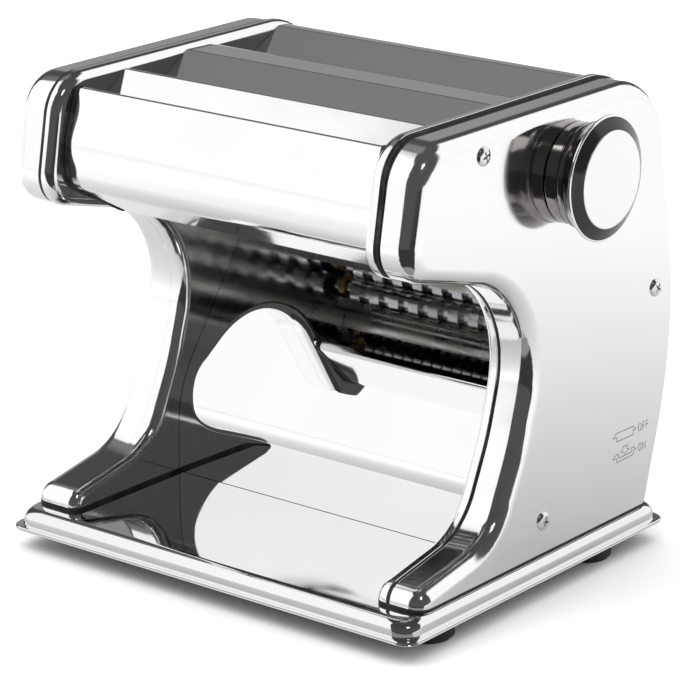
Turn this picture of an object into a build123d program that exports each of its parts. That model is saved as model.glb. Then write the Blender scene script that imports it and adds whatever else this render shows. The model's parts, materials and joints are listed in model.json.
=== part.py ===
from build123d import *
import os
from math import acos, atan2, cos, degrees, hypot, pi, radians, sin, sqrt, tan

os.makedirs("parts", exist_ok=True)

# Electric pasta maker, millimetres, +Z up. While it is built, X = 0 is the middle between the
# side housings, Y = 0 the middle of the base pan with the open mouth towards -Y, and Z = 0 the
# floor under the rubber feet. The finished pieces are moved so that the origin is the middle of
# the overall footprint.

# ---- driving dimensions -------------------------------------------------------------------
# Base pan
pan_length = 250.0
pan_depth = 212.8
pan_corner = 8.0
pan_lip_width = 4.4
pan_lip_top = 10.2
pan_lip_round = 0.8
pan_hem_height = 2.4
pan_hem_width = 1.8
pan_top = 20.5
pan_wall_corner = 12.0
pan_edge_round = 6.0
sheet = 1.0

# Bottom closing plate and feet
foot_height = 9.0
foot_radius = 13.0
foot_chamfer = 1.5
foot_inset_x = 19.0
foot_inset_front = 38.4
foot_inset_rear = 44.4
foot_recess_radius = 6.0
foot_recess_depth = 5.0
foot_screw_radius = 2.0
foot_screw_head_radius = 4.5
foot_screw_head_height = 2.6
foot_screw_length = 7.5
foot_nut_height = 2.0
bottom_plate_flange = 5.0
bottom_vent_length = 44.0
bottom_vent_width = 5.0
bottom_vent_pitch = 12.0
bottom_vent_count = 5
bottom_vent_y = 58.0

# Side housings: an inner dish and an outer cover that meet at a black seam
housing_inset = 4.2
housing_width = 27.25
cover_width = 20.6
outer_face_x = pan_length / 2 - housing_inset
inner_face_x = outer_face_x - housing_width
seam_x = outer_face_x - cover_width
seam_thickness = 2.4
cover_step = 1.4
inner_edge_round = 5.0
outer_edge_round = 8.0
seam_recess = 0.6
seam_width = 2.6
seat_gap = 0.2

# Side outline corners (y, z) and their rounding radii
housing_top = 241.3
nose_top_y = -94.3
nose_top_round = 22.0
nose_low_y = -105.0
nose_depth = 60.7
nose_low_z = housing_top - nose_depth
nose_low_round = 17.0
heel_y = -34.3
heel_z = 40.6
heel_round = 36.0
throat_y = 4.9
throat_depth = 88.0
throat_z = housing_top - throat_depth
throat_share = 0.443656
throat_round = throat_share * (throat_z - heel_z)
shin_y = -15.0
shin_share = 0.371783
shin_z = heel_z + shin_share * (throat_z - heel_z)
shin_round = 120.0
toe_y = -92.0
toe_z = 29.6
toe_round = 9.0
rear_foot_y = 96.5
bulge_y = 121.9
bulge_z = 108.8
bulge_round = 230.0
rear_top_y = 97.5
rear_top_round = 38.0

# Knob axis, which is also the adjustable roller's axis with the rollers closed
knob_y = 22.8
knob_depth = 35.2
knob_z = housing_top - knob_depth
knob_base_radius = 24.0
knob_rim_radius = 29.9
knob_rim_reach = 18.0
knob_rim_thickness = 1.2
knob_cap_radius = 23.0
knob_reach = 22.1
knob_cap_thickness = 1.4
knob_gap = 0.4
knob_groove_depth = 0.8
knob_neck_reach = 4.5
knob_waist_reach = 9.0
knob_shaft_radius = 5.0
eccentric_radius = 6.5
eccentric_throw = 1.0
yoke_clearance = 0.5

# Sheet rollers
roller_radius = 13.0
roller_end_gap = 5.55
roller_length = 2 * (inner_face_x - roller_end_gap)
roller_shaft_radius = 5.0
roller_gap = 0.35
roller_chamfer = 1.0

# Noodle cutters
cutter_drop = 3.1
cutter_z = knob_z - cutter_drop
wide_nip_y = -27.5
narrow_nip_y = -68.5
cutter_radius = 10.0
groove_radius = 7.2
cutter_radial_clearance = 0.3
cutter_side_clearance = 0.3
cutter_shaft_radius = 4.0
cutter_end_gap = 9.05
cutter_length = 2 * (inner_face_x - cutter_end_gap)
wide_count = 13
wide_pitch = cutter_length / wide_count
narrow_count = 26
narrow_pitch = cutter_length / narrow_count
narrow_clearance = 0.4
comb_outer_radius = 11.6
comb_gap = 0.4
comb_from = 195.0
comb_to = 250.0

# Gears, on the inner sides of the left housing
train_module = 2.0
pair_module = 1.25
pair_teeth = 14
roller_teeth = 13
input_teeth = 20
rear_idler_teeth = 20
cutter_teeth = 15
front_idler_teeth = 11
transfer_teeth = 32
pinion_teeth = 14
pressure_angle = 20.0
dedendum_ratio = 1.25
backlash = 0.5
train_play = 0.05
bore_play = 0.03
running_play = 0.05
gear_gap = 0.4
pair_offset = 5.45
pair_layer = inner_face_x + pair_offset
pair_width = 6.0
train_offset = 12.95
train_layer = inner_face_x + train_offset
train_width = 7.0
shaft_overhang = 2.0
transfer_offset_y = 10.85
pinion_offset_y = -8.0

# Bushes, studs and clips
bush_wall = 2.0
bush_flange = 2.5
bush_flange_thickness = 1.6
bush_inboard = 1.8
stud_radius = 3.5
stud_collar_radius = 4.7
clip_radius = 5.8
clip_thickness = 1.2

# Adjustable roller carriage
block_half_height = 9.0
block_thickness = 3.6
block_rear_reach = 9.0
block_front_reach = 25.3
block_clearance = 0.4
yoke_thickness = 6.0
yoke_wall = 2.0
right_block_thickness = 6.6
link_rod_offset = 19.3
link_rod_radius = 3.0
rail_height = 2.4
rail_clearance = 0.3
rail_front_reach = 21.0
rail_rear_reach = 15.0
rail_depth = 3.6

# Hopper and panels, corners as (y, depth below the housing's top)
ridge_round = 1.6
panel_hem = (-80.6, 8.3)
panel_top = (-83.2, 4.9)
panel_belly = (-92.9, 34.3)
panel_belly_round = 40.0
panel_chin = (-91.0, 52.9)
panel_chin_round = 12.0
panel_bottom = (-53.7, 73.3)
panel_lip = (-51.2, 69.9)
front_guide_top = (-81.0, 10.3)
front_guide_end = (-72.8, 20.3)
front_ridge = (-48.2, 3.8)
front_ridge_front = (-66.5, 16.8)
front_ridge_rear = (-31.0, 15.3)
middle_ridge = (-2.9, 2.8)
middle_ridge_front = (-24.5, 15.8)
hump = (19.0, 3.1)
hump_round = 14.0
hump_end = (33.6, 18.3)
rear_ridge = (68.2, 3.1)
rear_slope_end = (40.2, 17.5)
rear_inset = 1.4
rear_cover_round = 31.0
rear_flange = 9.0
side_play = 0.2

# Slanted guide plate behind the mouth, its top as (y, depth below the housing's top)
guide_top = (76.0, 54.0)
guide_knee = (-12.6, 64.5)
guide_foot_y = -13.0
guide_round = 60.0

# Tie rods: the upper ones as (y, depth below the housing's top), the low one above the pan
upper_tie_rods = [(-66.0, 59.3), (-2.0, 54.3), (80.0, 36.3)]
low_tie_rod_y = 85.0
low_tie_rod_rise = 24.5
tie_rod_radius = 3.0
tie_nut_radius = 4.8
tie_nut_height = 4.0

# Cover posts and screws, placed as the tie rods are
upper_cover_screws = [(-48.5, 13.1), (96.0, 108.5)]
low_cover_screw_y = 3.5
low_cover_screw_rise = 18.1
post_radius = 4.0
screw_radius = 2.0
screw_play = 0.1
screw_head_radius = 4.8
screw_head_height = 2.2
screw_head_chamfer = 1.2
screw_depth = 9.0

# Motor with reduction box
motor_y = 58.0
motor_z = 72.0
motor_radius = 30.0
motor_length = 84.0
motor_cap_radius = 24.0
motor_cap_length = 9.0
motor_boss_radius = 8.0
motor_boss_length = 5.0
gearbox_wall = 4.0
gearbox_depth = 22.0
output_boss_radius = 17.0
output_bore_depth = 9.0
output_shaft_radius = 4.0
cradle_width = 24.0
cradle_half_base = 26.0
cradle_rise = 12.0

# Vents in the rear cover
vent_count = 7
vent_pitch = 9.0
vent_length = 52.0
vent_width = 3.0
vent_z = 58.0

# Power button and cord inlet on the rear
button_inset = 35.55
button_x = inner_face_x - button_inset
button_z = 58.0
button_radius = 8.0
button_travel = 3.0
button_proud = 6.5
button_edge_round = 1.0
button_play = 0.4
button_stem_radius = 3.0
bezel_wall = 2.0
bezel_flange = 3.0
bezel_flange_thickness = 1.8
bezel_depth = 11.0
switch_size = 22.0
switch_depth = 16.0
inlet_inset = 31.55
inlet_x = inlet_inset - inner_face_x
inlet_z = 42.0
inlet_bore_radius = 3.6
inlet_wall = 2.4
inlet_flange = 3.0
inlet_flange_thickness = 2.2
inlet_reach = 10.0

# ---- derived places -----------------------------------------------------------------------
housing_bottom = pan_top + seat_gap
cover_open_x = seam_x + seam_thickness
rear_slope = (bulge_y - rear_foot_y) / (bulge_z - housing_bottom)
rear_lean = degrees(atan2(bulge_y - rear_foot_y, bulge_z - housing_bottom))
fixed_roller_y = knob_y + 2 * roller_radius + roller_gap
fixed_roller_z = knob_z
cutter_spacing = cutter_radius + groove_radius + cutter_radial_clearance
wide_front_y = wide_nip_y - cutter_spacing / 2
wide_rear_y = wide_nip_y + cutter_spacing / 2
narrow_front_y = narrow_nip_y - cutter_spacing / 2
narrow_rear_y = narrow_nip_y + cutter_spacing / 2
plate_out_x = inner_face_x + sheet


def from_top(place):
    """Point (y, z) of a place given by its depth below the housing's top."""
    return (place[0], housing_top - place[1])


tie_rod_places = [from_top(place) for place in upper_tie_rods]
tie_rod_places.append((low_tie_rod_y, pan_top + low_tie_rod_rise))
cover_screw_places = [from_top(place) for place in upper_cover_screws]
cover_screw_places.append((low_cover_screw_y, pan_top + low_cover_screw_rise))


def pitch_radius(teeth, module):
    """Pitch circle radius of a spur gear."""
    return teeth * module / 2


def centre_distance(teeth_a, teeth_b):
    """Running centre distance of two gears of the train."""
    return pitch_radius(teeth_a, train_module) + pitch_radius(teeth_b, train_module) + train_play


def idler_place(first, second, first_distance, second_distance):
    """Centre of an idler that hangs below the line between two other gears."""
    span_y = second[0] - first[0]
    span_z = second[1] - first[1]
    span = hypot(span_y, span_z)
    along = (first_distance**2 - second_distance**2 + span**2) / (2 * span)
    drop = sqrt(first_distance**2 - along**2)
    side = -1 if span_y > 0 else 1
    return (
        first[0] + along * span_y / span - side * drop * span_z / span,
        first[1] + along * span_z / span + side * drop * span_y / span,
    )


fixed_roller_axis = (fixed_roller_y, fixed_roller_z)
adjustable_roller_axis = (knob_y, knob_z)
wide_rear_axis = (wide_rear_y, cutter_z)
wide_front_axis = (wide_front_y, cutter_z)
narrow_rear_axis = (narrow_rear_y, cutter_z)
narrow_front_axis = (narrow_front_y, cutter_z)
rear_idler_axis = idler_place(
    fixed_roller_axis,
    wide_rear_axis,
    centre_distance(input_teeth, rear_idler_teeth),
    centre_distance(rear_idler_teeth, cutter_teeth),
)
front_idler_axis = idler_place(
    wide_rear_axis,
    narrow_rear_axis,
    centre_distance(cutter_teeth, front_idler_teeth),
    centre_distance(front_idler_teeth, cutter_teeth),
)


def axis_below(axis, offset_y, distance):
    """Point below an axis, moved along Y, at a set distance from it."""
    return (axis[0] + offset_y, axis[1] - sqrt(distance**2 - offset_y**2))


transfer_axis = axis_below(
    fixed_roller_axis, transfer_offset_y, centre_distance(input_teeth, transfer_teeth)
)
pinion_axis = axis_below(
    transfer_axis, pinion_offset_y, centre_distance(transfer_teeth, pinion_teeth)
)


# ---- general helpers ----------------------------------------------------------------------
def at_side(x):
    """Y-Z plane at the given X, with its normal along +X."""
    return Plane.YZ.offset(x)


def rod(axis, radius, start_x, end_x):
    """Round bar along X between two X positions."""
    return extrude(at_side(start_x) * Pos(*axis) * Circle(radius), amount=end_x - start_x)


def mirrored(piece):
    """The same piece on the other side of the machine."""
    return mirror(piece, about=Plane.YZ)


def side_outline(inset, step=0.0):
    """Side view of a housing, drawn in by the inset all round and stepped back at nose and top."""
    corners = [
        (nose_top_y + step, housing_top - step),
        (nose_low_y + step, nose_low_z),
        (throat_y, throat_z),
        (shin_y, shin_z),
        (heel_y, heel_z),
        (toe_y, toe_z),
        (toe_y, housing_bottom),
        (rear_foot_y, housing_bottom),
        (bulge_y, bulge_z),
        (rear_top_y, housing_top - step),
    ]
    rounds = [
        nose_top_round,
        nose_low_round,
        throat_round,
        shin_round,
        heel_round,
        toe_round,
        0,
        0,
        bulge_round,
        rear_top_round,
    ]
    face = make_face(FilletPolyline(*corners, radius=rounds, close=True))
    return offset(face, amount=-inset, kind=Kind.INTERSECTION) if inset else face


def dish(inset, open_x, face_x, edge_round, step=0.0):
    """Solid block of the side outline with a rounded edge round its closed face."""
    start_x = min(open_x, face_x)
    block = extrude(at_side(start_x) * side_outline(inset, step), amount=abs(face_x - open_x))
    closed_face = block.faces().sort_by(Axis.X)[-1 if face_x > open_x else 0]
    floor_z = housing_bottom + inset
    rim = [edge for edge in closed_face.edges() if edge.center().Z > floor_z + sheet / 2]
    return fillet(rim, edge_round)


def pressed_dish(open_x, face_x, edge_round, step=0.0):
    """Hollow pressed half of a side housing, open towards the seam."""
    direction = 1 if face_x > open_x else -1
    inside = dish(sheet, open_x, face_x - direction * sheet, edge_round - sheet, step)
    return dish(0, open_x, face_x, edge_round, step) - inside


def bent_sheet(points, rounds, half_width):
    """Sheet with a bent profile in Y-Z, running across the machine."""
    path = FilletPolyline(*points, radius=rounds) if rounds else Line(*points)
    profile = trace(path, line_width=sheet)
    return extrude(at_side(-half_width) * profile, amount=2 * half_width)


def stadium(axis, radius, reach_y):
    """Slot outline that starts at an axis and reaches along Y."""
    slot = SlotCenterToCenter(abs(reach_y), 2 * radius)
    return Pos(axis[0] + reach_y / 2, axis[1]) * slot


# ---- base ---------------------------------------------------------------------------------
def make_base_pan():
    """Pressed pan: raised table, steep wall and a hemmed lip."""
    table_length = pan_length - 2 * pan_lip_width
    table_depth = pan_depth - 2 * pan_lip_width
    lip_underside = pan_lip_top - sheet
    table = extrude(
        Plane.XY.offset(lip_underside) * RectangleRounded(table_length, table_depth, pan_wall_corner),
        amount=pan_top - lip_underside,
    )
    table = fillet(table.faces().sort_by(Axis.Z)[-1].edges(), pan_edge_round)
    hollow = extrude(
        Plane.XY.offset(lip_underside)
        * RectangleRounded(table_length - 2 * sheet, table_depth - 2 * sheet, pan_wall_corner - sheet),
        amount=pan_top - sheet - lip_underside,
    )
    hollow = fillet(hollow.faces().sort_by(Axis.Z)[-1].edges(), pan_edge_round - sheet)
    rim = extrude(
        Plane.XY.offset(pan_lip_top - pan_hem_height) * RectangleRounded(pan_length, pan_depth, pan_corner),
        amount=pan_hem_height,
    )
    rim = fillet(rim.faces().sort_by(Axis.Z)[-1].edges(), pan_lip_round)
    rim -= extrude(
        Plane.XY.offset(pan_lip_top - 2 * pan_hem_height)
        * RectangleRounded(
            pan_length - 2 * pan_hem_width, pan_depth - 2 * pan_hem_width, pan_corner - pan_hem_width
        ),
        amount=2 * pan_hem_height - sheet,
    )
    return table + rim - hollow


def foot_places():
    """Centres of the four feet."""
    half = pan_length / 2 - foot_inset_x
    front = -pan_depth / 2 + foot_inset_front
    rear = pan_depth / 2 - foot_inset_rear
    return [(x, y) for y in (front, rear) for x in (-half, half)]


def make_bottom_plate():
    """Flat tray that closes the pan from below, with motor vents."""
    length = pan_length - 2 * (pan_lip_width + sheet + side_play)
    depth = pan_depth - 2 * (pan_lip_width + sheet + side_play)
    corner = pan_wall_corner - sheet - side_play
    tray = extrude(
        Plane.XY.offset(foot_height) * RectangleRounded(length, depth, corner), amount=bottom_plate_flange
    )
    tray -= extrude(
        Plane.XY.offset(foot_height + sheet)
        * RectangleRounded(length - 2 * sheet, depth - 2 * sheet, corner - sheet),
        amount=bottom_plate_flange,
    )
    for place in foot_places():
        tray -= Pos(*place, foot_height) * Cylinder(foot_screw_radius + screw_play, 4 * sheet)
    vents = GridLocations(bottom_vent_pitch, 1, bottom_vent_count, 1)
    slots = Sketch() + vents * (Rot(0, 0, 90) * SlotOverall(bottom_vent_length, bottom_vent_width))
    tray -= extrude(Plane.XY.offset(foot_height - sheet) * Pos(0, bottom_vent_y) * slots, amount=3 * sheet)
    return tray


def make_rubber_feet():
    """Four round rubber feet with a screw recess from below."""
    foot = Pos(0, 0, foot_height / 2) * Cylinder(foot_radius, foot_height)
    foot = chamfer(foot.edges().sort_by(Axis.Z)[0], foot_chamfer)
    foot -= Pos(0, 0, foot_recess_depth / 2) * Cylinder(foot_recess_radius, foot_recess_depth)
    foot -= Pos(0, 0, foot_height / 2) * Cylinder(foot_screw_radius + screw_play, foot_height)
    return Compound([Pos(*place) * foot for place in foot_places()])


def make_foot_screws():
    """Screws that hold the feet to the bottom plate."""
    head = Pos(0, 0, foot_recess_depth - foot_screw_head_height / 2) * Cylinder(
        foot_screw_head_radius, foot_screw_head_height
    )
    shank = Pos(0, 0, foot_recess_depth + foot_screw_length / 2) * Cylinder(
        foot_screw_radius, foot_screw_length
    )
    nut_bottom = foot_height + sheet
    nut = extrude(
        Plane.XY.offset(nut_bottom) * RegularPolygon(foot_screw_head_radius, 6), amount=foot_nut_height
    )
    screw = head + shank + nut
    return Compound([Pos(*place) * screw for place in foot_places()])


# ---- side housings ------------------------------------------------------------------------
def shaft_holes():
    """Axes of the shafts that run in bushes, with each shaft's radius."""
    return [
        (fixed_roller_axis, roller_shaft_radius),
        (wide_rear_axis, cutter_shaft_radius),
        (wide_front_axis, cutter_shaft_radius),
        (narrow_rear_axis, cutter_shaft_radius),
        (narrow_front_axis, cutter_shaft_radius),
    ]


def make_inner_shell(is_left):
    """Inner dish of a side housing, drawn for the right side with all its holes."""
    shell = pressed_dish(seam_x, inner_face_x, inner_edge_round)
    start_x = inner_face_x - sheet
    end_x = plate_out_x + sheet
    for axis, radius in shaft_holes():
        shell -= rod(axis, radius + bush_wall + bore_play, start_x, end_x)
    for axis in tie_rod_places:
        shell -= rod(axis, tie_rod_radius + screw_play, start_x, end_x)
    slide = -2 * eccentric_throw
    roller_slot = stadium(adjustable_roller_axis, roller_shaft_radius + 2 * block_clearance, slide)
    shell -= extrude(at_side(start_x) * roller_slot, amount=end_x - start_x)
    link_axis = (knob_y - link_rod_offset, knob_z)
    link_slot = stadium(link_axis, link_rod_radius + 2 * block_clearance, slide)
    shell -= extrude(at_side(start_x) * link_slot, amount=end_x - start_x)
    if is_left:
        shell -= rod(pinion_axis, output_shaft_radius + 3 * gear_gap, start_x, end_x)
        for axis in (rear_idler_axis, front_idler_axis, transfer_axis):
            shell -= rod(axis, stud_radius + bore_play, start_x, end_x)
        return mirrored(shell)
    return shell


def make_outer_cover(is_left):
    """Outer pressed cover of a side housing."""
    cover = pressed_dish(cover_open_x, outer_face_x, outer_edge_round, cover_step)
    start_x = outer_face_x - 2 * sheet
    end_x = outer_face_x + sheet
    for axis in cover_screw_places:
        cover -= rod(axis, screw_radius + screw_play, start_x, end_x)
    if is_left:
        return mirrored(cover)
    cover -= rod(adjustable_roller_axis, knob_shaft_radius + bush_wall + bore_play, start_x, end_x)
    return cover


def make_seam_gasket(is_left):
    """Thin black gasket between the two halves of a side housing."""
    ring = side_outline(seam_recess) - side_outline(seam_recess + seam_width, cover_step)
    gasket = extrude(at_side(seam_x) * ring, amount=seam_thickness)
    return mirrored(gasket) if is_left else gasket


def make_cover_posts():
    """Standoffs that carry the outer covers on the inner dishes."""
    posts = []
    for axis in cover_screw_places:
        post = rod(axis, post_radius, plate_out_x, outer_face_x - sheet)
        post -= rod(axis, screw_radius + bore_play, outer_face_x - screw_depth - sheet, outer_face_x)
        posts.append(post)
        posts.append(mirrored(post))
    return Compound(posts)


def make_cover_screws():
    """Pan-head screws of both outer covers."""
    screws = []
    for axis in cover_screw_places:
        head = rod(axis, screw_head_radius, outer_face_x, outer_face_x + screw_head_height)
        head = chamfer(head.edges().sort_by(Axis.X)[-1], screw_head_chamfer)
        screw = head + rod(axis, screw_radius, outer_face_x - screw_depth, outer_face_x)
        screws.append(screw)
        screws.append(mirrored(screw))
    return Compound(screws)


# ---- sheet panels -------------------------------------------------------------------------
def panel_half_width():
    """Half the width of a panel that fits between the side housings."""
    return inner_face_x - side_play


def make_front_panel():
    """Curved front panel with a hem at the top and a return lip below."""
    corners = [panel_hem, panel_top, panel_belly, panel_chin, panel_bottom, panel_lip]
    points = [from_top(corner) for corner in corners]
    rounds = [ridge_round, panel_belly_round, panel_chin_round, ridge_round]
    return bent_sheet(points, rounds, panel_half_width())


def make_front_guide():
    """Front wall of the front slot."""
    return bent_sheet([from_top(front_guide_top), from_top(front_guide_end)], [], panel_half_width())


def make_front_divider():
    """Roof-shaped divider between the front and the middle slot."""
    points = [from_top(corner) for corner in (front_ridge_front, front_ridge, front_ridge_rear)]
    return bent_sheet(points, [ridge_round], panel_half_width())


def make_middle_divider():
    """Divider between the middle and the rear slot, humped over the sheet roller."""
    points = [from_top(corner) for corner in (middle_ridge_front, middle_ridge, hump, hump_end)]
    return bent_sheet(points, [ridge_round, hump_round], panel_half_width())


def rear_plane(x, z):
    """Plane on the lower rear face, its normal pointing out of the machine."""
    y = rear_foot_y + rear_slope * (z - housing_bottom) - rear_inset
    normal = (0, cos(radians(rear_lean)), -sin(radians(rear_lean)))
    return Plane(origin=(x, y, z), x_dir=(1, 0, 0), z_dir=normal)


def make_rear_cover():
    """Rear cover from the hopper's rear slope round the back to the base."""
    middle = rear_inset + sheet / 2
    foot = (rear_foot_y - middle, housing_bottom + sheet / 2)
    ridge = from_top(rear_ridge)
    points = [
        from_top(rear_slope_end),
        ridge,
        (rear_top_y - middle, ridge[1]),
        (bulge_y - middle, bulge_z),
        foot,
        (foot[0] - rear_flange, foot[1]),
    ]
    rounds = [ridge_round, rear_cover_round, bulge_round - middle, ridge_round]
    cover = bent_sheet(points, rounds, panel_half_width())
    rear = rear_plane(0, vent_z)
    slots = Sketch() + GridLocations(1, vent_pitch, 1, vent_count) * SlotOverall(vent_length, vent_width)
    cover -= extrude(rear * slots, amount=3 * sheet, both=True)
    button_hole = Circle(button_radius + button_play + bezel_wall + bore_play)
    cover -= extrude(rear_plane(button_x, button_z) * button_hole, amount=3 * sheet, both=True)
    inlet_hole = Circle(inlet_bore_radius + inlet_wall + bore_play)
    cover -= extrude(rear_plane(inlet_x, inlet_z) * inlet_hole, amount=3 * sheet, both=True)
    return cover


def make_guide_plate():
    """Slanted mirror-bright plate that closes the mouth behind the noodles."""
    points = [from_top(guide_top), guide_knee, (guide_foot_y, housing_bottom)]
    return bent_sheet(points, [guide_round], panel_half_width())


# ---- frame hardware -----------------------------------------------------------------------
def make_tie_rods():
    """Rods that hold the two inner dishes together."""
    half = plate_out_x + tie_nut_height + sheet
    return Compound([rod(axis, tie_rod_radius, -half, half) for axis in tie_rod_places])


def make_tie_nuts():
    """Nuts on both ends of the tie rods."""
    nuts = []
    for axis in tie_rod_places:
        outline = RegularPolygon(tie_nut_radius, 6) - Circle(tie_rod_radius + bore_play)
        nut = extrude(at_side(plate_out_x) * Pos(*axis) * outline, amount=tie_nut_height)
        nuts.append(nut)
        nuts.append(mirrored(nut))
    return Compound(nuts)


def make_shaft_bushes():
    """Flanged bushes of the fixed roller and the four cutters."""
    bushes = []
    for axis, radius in shaft_holes():
        flange_end = plate_out_x + bush_flange_thickness
        bush = rod(axis, radius + bush_wall, inner_face_x - bush_inboard, flange_end)
        bush += rod(axis, radius + bush_wall + bush_flange, plate_out_x, flange_end)
        bush -= rod(axis, radius + running_play, inner_face_x - 2 * bush_inboard, flange_end + sheet)
        bushes.append(bush)
        bushes.append(mirrored(bush))
    return Compound(bushes)


def make_idler_studs():
    """Fixed studs of the three idler gears, each with a foot collar and a thrust collar."""
    studs = []
    for axis in (rear_idler_axis, front_idler_axis, transfer_axis):
        stud = rod(axis, stud_radius, inner_face_x, train_layer + train_width + shaft_overhang)
        stud += rod(axis, stud_collar_radius, plate_out_x, pair_layer - gear_gap)
        stud += rod(axis, stud_collar_radius, pair_layer + pair_width + gear_gap, train_layer - gear_gap)
        studs.append(mirrored(stud))
    return Compound(studs)


def make_retaining_clips():
    """Clips that keep the idler gears on their studs."""
    clips = []
    start_x = train_layer + train_width + gear_gap
    for axis in (rear_idler_axis, front_idler_axis, transfer_axis):
        clip = rod(axis, clip_radius, start_x, start_x + clip_thickness)
        clip -= rod(axis, stud_radius + bore_play, start_x - sheet, start_x + 2 * clip_thickness)
        clips.append(mirrored(clip))
    return Compound(clips)


# ---- gears --------------------------------------------------------------------------------
def involute(angle):
    """Involute function of an angle in radians."""
    return tan(angle) - angle


def gear_face(teeth, module, phase):
    """Spur gear outline with one tooth centred on the phase angle, in radians."""
    pitch = pitch_radius(teeth, module)
    base = pitch * cos(radians(pressure_angle))
    tip = pitch + module
    root = pitch - dedendum_ratio * module
    flank = max(root, base)
    middle_angle = (pi * module / 2 - backlash / 2) / (2 * pitch)
    tip_angle = middle_angle + involute(radians(pressure_angle)) - involute(acos(base / tip))
    root_angle = middle_angle + involute(radians(pressure_angle)) - involute(acos(base / flank))
    points = []
    for tooth in range(teeth):
        centre = phase + 2 * pi * tooth / teeth
        for radius, angle in ((root, -root_angle), (tip, -tip_angle), (tip, tip_angle), (root, root_angle)):
            points.append((radius * cos(centre + angle), radius * sin(centre + angle)))
    return make_face(Polyline(*points, close=True))


def meshed_phase(phase, teeth, other_teeth, axis, other_axis):
    """Phase at which a second gear's gap faces the first gear's tooth."""
    towards = atan2(other_axis[1] - axis[1], other_axis[0] - axis[0])
    tooth_offset = (towards - phase) * teeth / (2 * pi)
    return towards + pi + (tooth_offset - 0.5) * 2 * pi / other_teeth


def make_gear(axis, teeth, module, phase, start_x, width, bore_radius):
    """Gear in the left housing, given by its distances from the middle."""
    outline = gear_face(teeth, module, phase) - Circle(bore_radius)
    return extrude(at_side(-start_x - width) * Pos(*axis) * outline, amount=width)


input_phase = 0.0
rear_idler_phase = meshed_phase(
    input_phase, input_teeth, rear_idler_teeth, fixed_roller_axis, rear_idler_axis
)
wide_drive_phase = meshed_phase(
    rear_idler_phase, rear_idler_teeth, cutter_teeth, rear_idler_axis, wide_rear_axis
)
front_idler_phase = meshed_phase(
    wide_drive_phase, cutter_teeth, front_idler_teeth, wide_rear_axis, front_idler_axis
)
narrow_drive_phase = meshed_phase(
    front_idler_phase, front_idler_teeth, cutter_teeth, front_idler_axis, narrow_rear_axis
)
transfer_phase = meshed_phase(
    input_phase, input_teeth, transfer_teeth, fixed_roller_axis, transfer_axis
)
pinion_phase = meshed_phase(
    transfer_phase, transfer_teeth, pinion_teeth, transfer_axis, pinion_axis
)


def make_roller_gear(axis, other_axis, is_follower):
    """Coarse gear that couples the two sheet rollers."""
    phase = 0.0
    if is_follower:
        phase = meshed_phase(0.0, roller_teeth, roller_teeth, other_axis, axis)
    bore = roller_shaft_radius + bore_play
    return make_gear(axis, roller_teeth, train_module, phase, pair_layer, pair_width, bore)


def make_pair_gear(axis, other_axis, is_follower):
    """Fine gear that couples the two rollers of a cutter."""
    phase = 0.0
    if is_follower:
        phase = meshed_phase(0.0, pair_teeth, pair_teeth, other_axis, axis)
    bore = cutter_shaft_radius + bore_play
    return make_gear(axis, pair_teeth, pair_module, phase, pair_layer, pair_width, bore)


def make_train_gear(axis, teeth, phase, bore_radius):
    """Gear of the main train."""
    return make_gear(axis, teeth, train_module, phase, train_layer, train_width, bore_radius)


# ---- rollers ------------------------------------------------------------------------------
def left_shaft_end(is_driven):
    """X of the left end of a shaft, which carries one gear or two."""
    if is_driven:
        return -(train_layer + train_width + shaft_overhang)
    return -(pair_layer + pair_width + gear_gap)


def right_shaft_end():
    """X of the right end of a shaft that runs in a bush."""
    return plate_out_x + bush_flange_thickness + shaft_overhang


def make_sheet_roller(axis, left_end, right_end):
    """Smooth sheet roller with its two journals."""
    half = roller_length / 2
    barrel = rod(axis, roller_radius, -half, half)
    barrel = chamfer(barrel.edges().filter_by(GeomType.CIRCLE), roller_chamfer)
    return barrel + rod(axis, roller_shaft_radius, left_end, right_end)


def make_wide_cutter(axis, is_rear):
    """Ribbon cutter roller: discs and grooves in turn."""
    half = wide_pitch * wide_count / 2
    disc_width = wide_pitch / 2 - cutter_side_clearance
    profile = Pos(0, groove_radius / 2) * Rectangle(2 * half, groove_radius)
    first = -half + wide_pitch / 4 + (wide_pitch / 2 if is_rear else 0)
    for number in range(wide_count):
        centre = first + number * wide_pitch
        profile += Pos(centre, cutter_radius / 2) * Rectangle(disc_width, cutter_radius)
    core = Plane.XZ * profile
    cutter = revolve(core, axis=Axis.X)
    cutter = Pos(0, *axis) * cutter
    return cutter + rod(axis, cutter_shaft_radius, left_shaft_end(is_rear), right_shaft_end())


def make_narrow_cutter(axis, is_rear):
    """Fine noodle cutter roller: pointed ridges that stand in the other roller's grooves."""
    half = narrow_pitch * narrow_count / 2
    valley = cutter_spacing - cutter_radius - narrow_clearance
    points = [(-half, 0), (-half, valley if is_rear else cutter_radius)]
    for number in range(1, 2 * narrow_count + 1):
        is_ridge = (number % 2 == 1) == is_rear
        points.append((-half + number * narrow_pitch / 2, cutter_radius if is_ridge else valley))
    points.append((half, 0))
    cutter = revolve(Plane.XZ * make_face(Polyline(*points, close=True)), axis=Axis.X)
    cutter = Pos(0, *axis) * cutter
    return cutter + rod(axis, cutter_shaft_radius, left_shaft_end(is_rear), right_shaft_end())


def comb_sector(axis, inner_radius, is_rear):
    """Curved scraper bar under the outer side of a cutter roller."""
    ring = Circle(comb_outer_radius) - Circle(inner_radius)
    reach = 2 * comb_outer_radius
    start = radians(comb_from)
    end = radians(comb_to)
    first_corner = (reach * cos(start), reach * sin(start))
    last_corner = (reach * cos(end), reach * sin(end))
    sector = ring & make_face(Polyline((0, 0), first_corner, last_corner, close=True))
    if is_rear:
        sector = mirror(sector, about=Plane.YZ)
    half = panel_half_width()
    return extrude(at_side(-half) * Pos(*axis) * sector, amount=2 * half)


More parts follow.
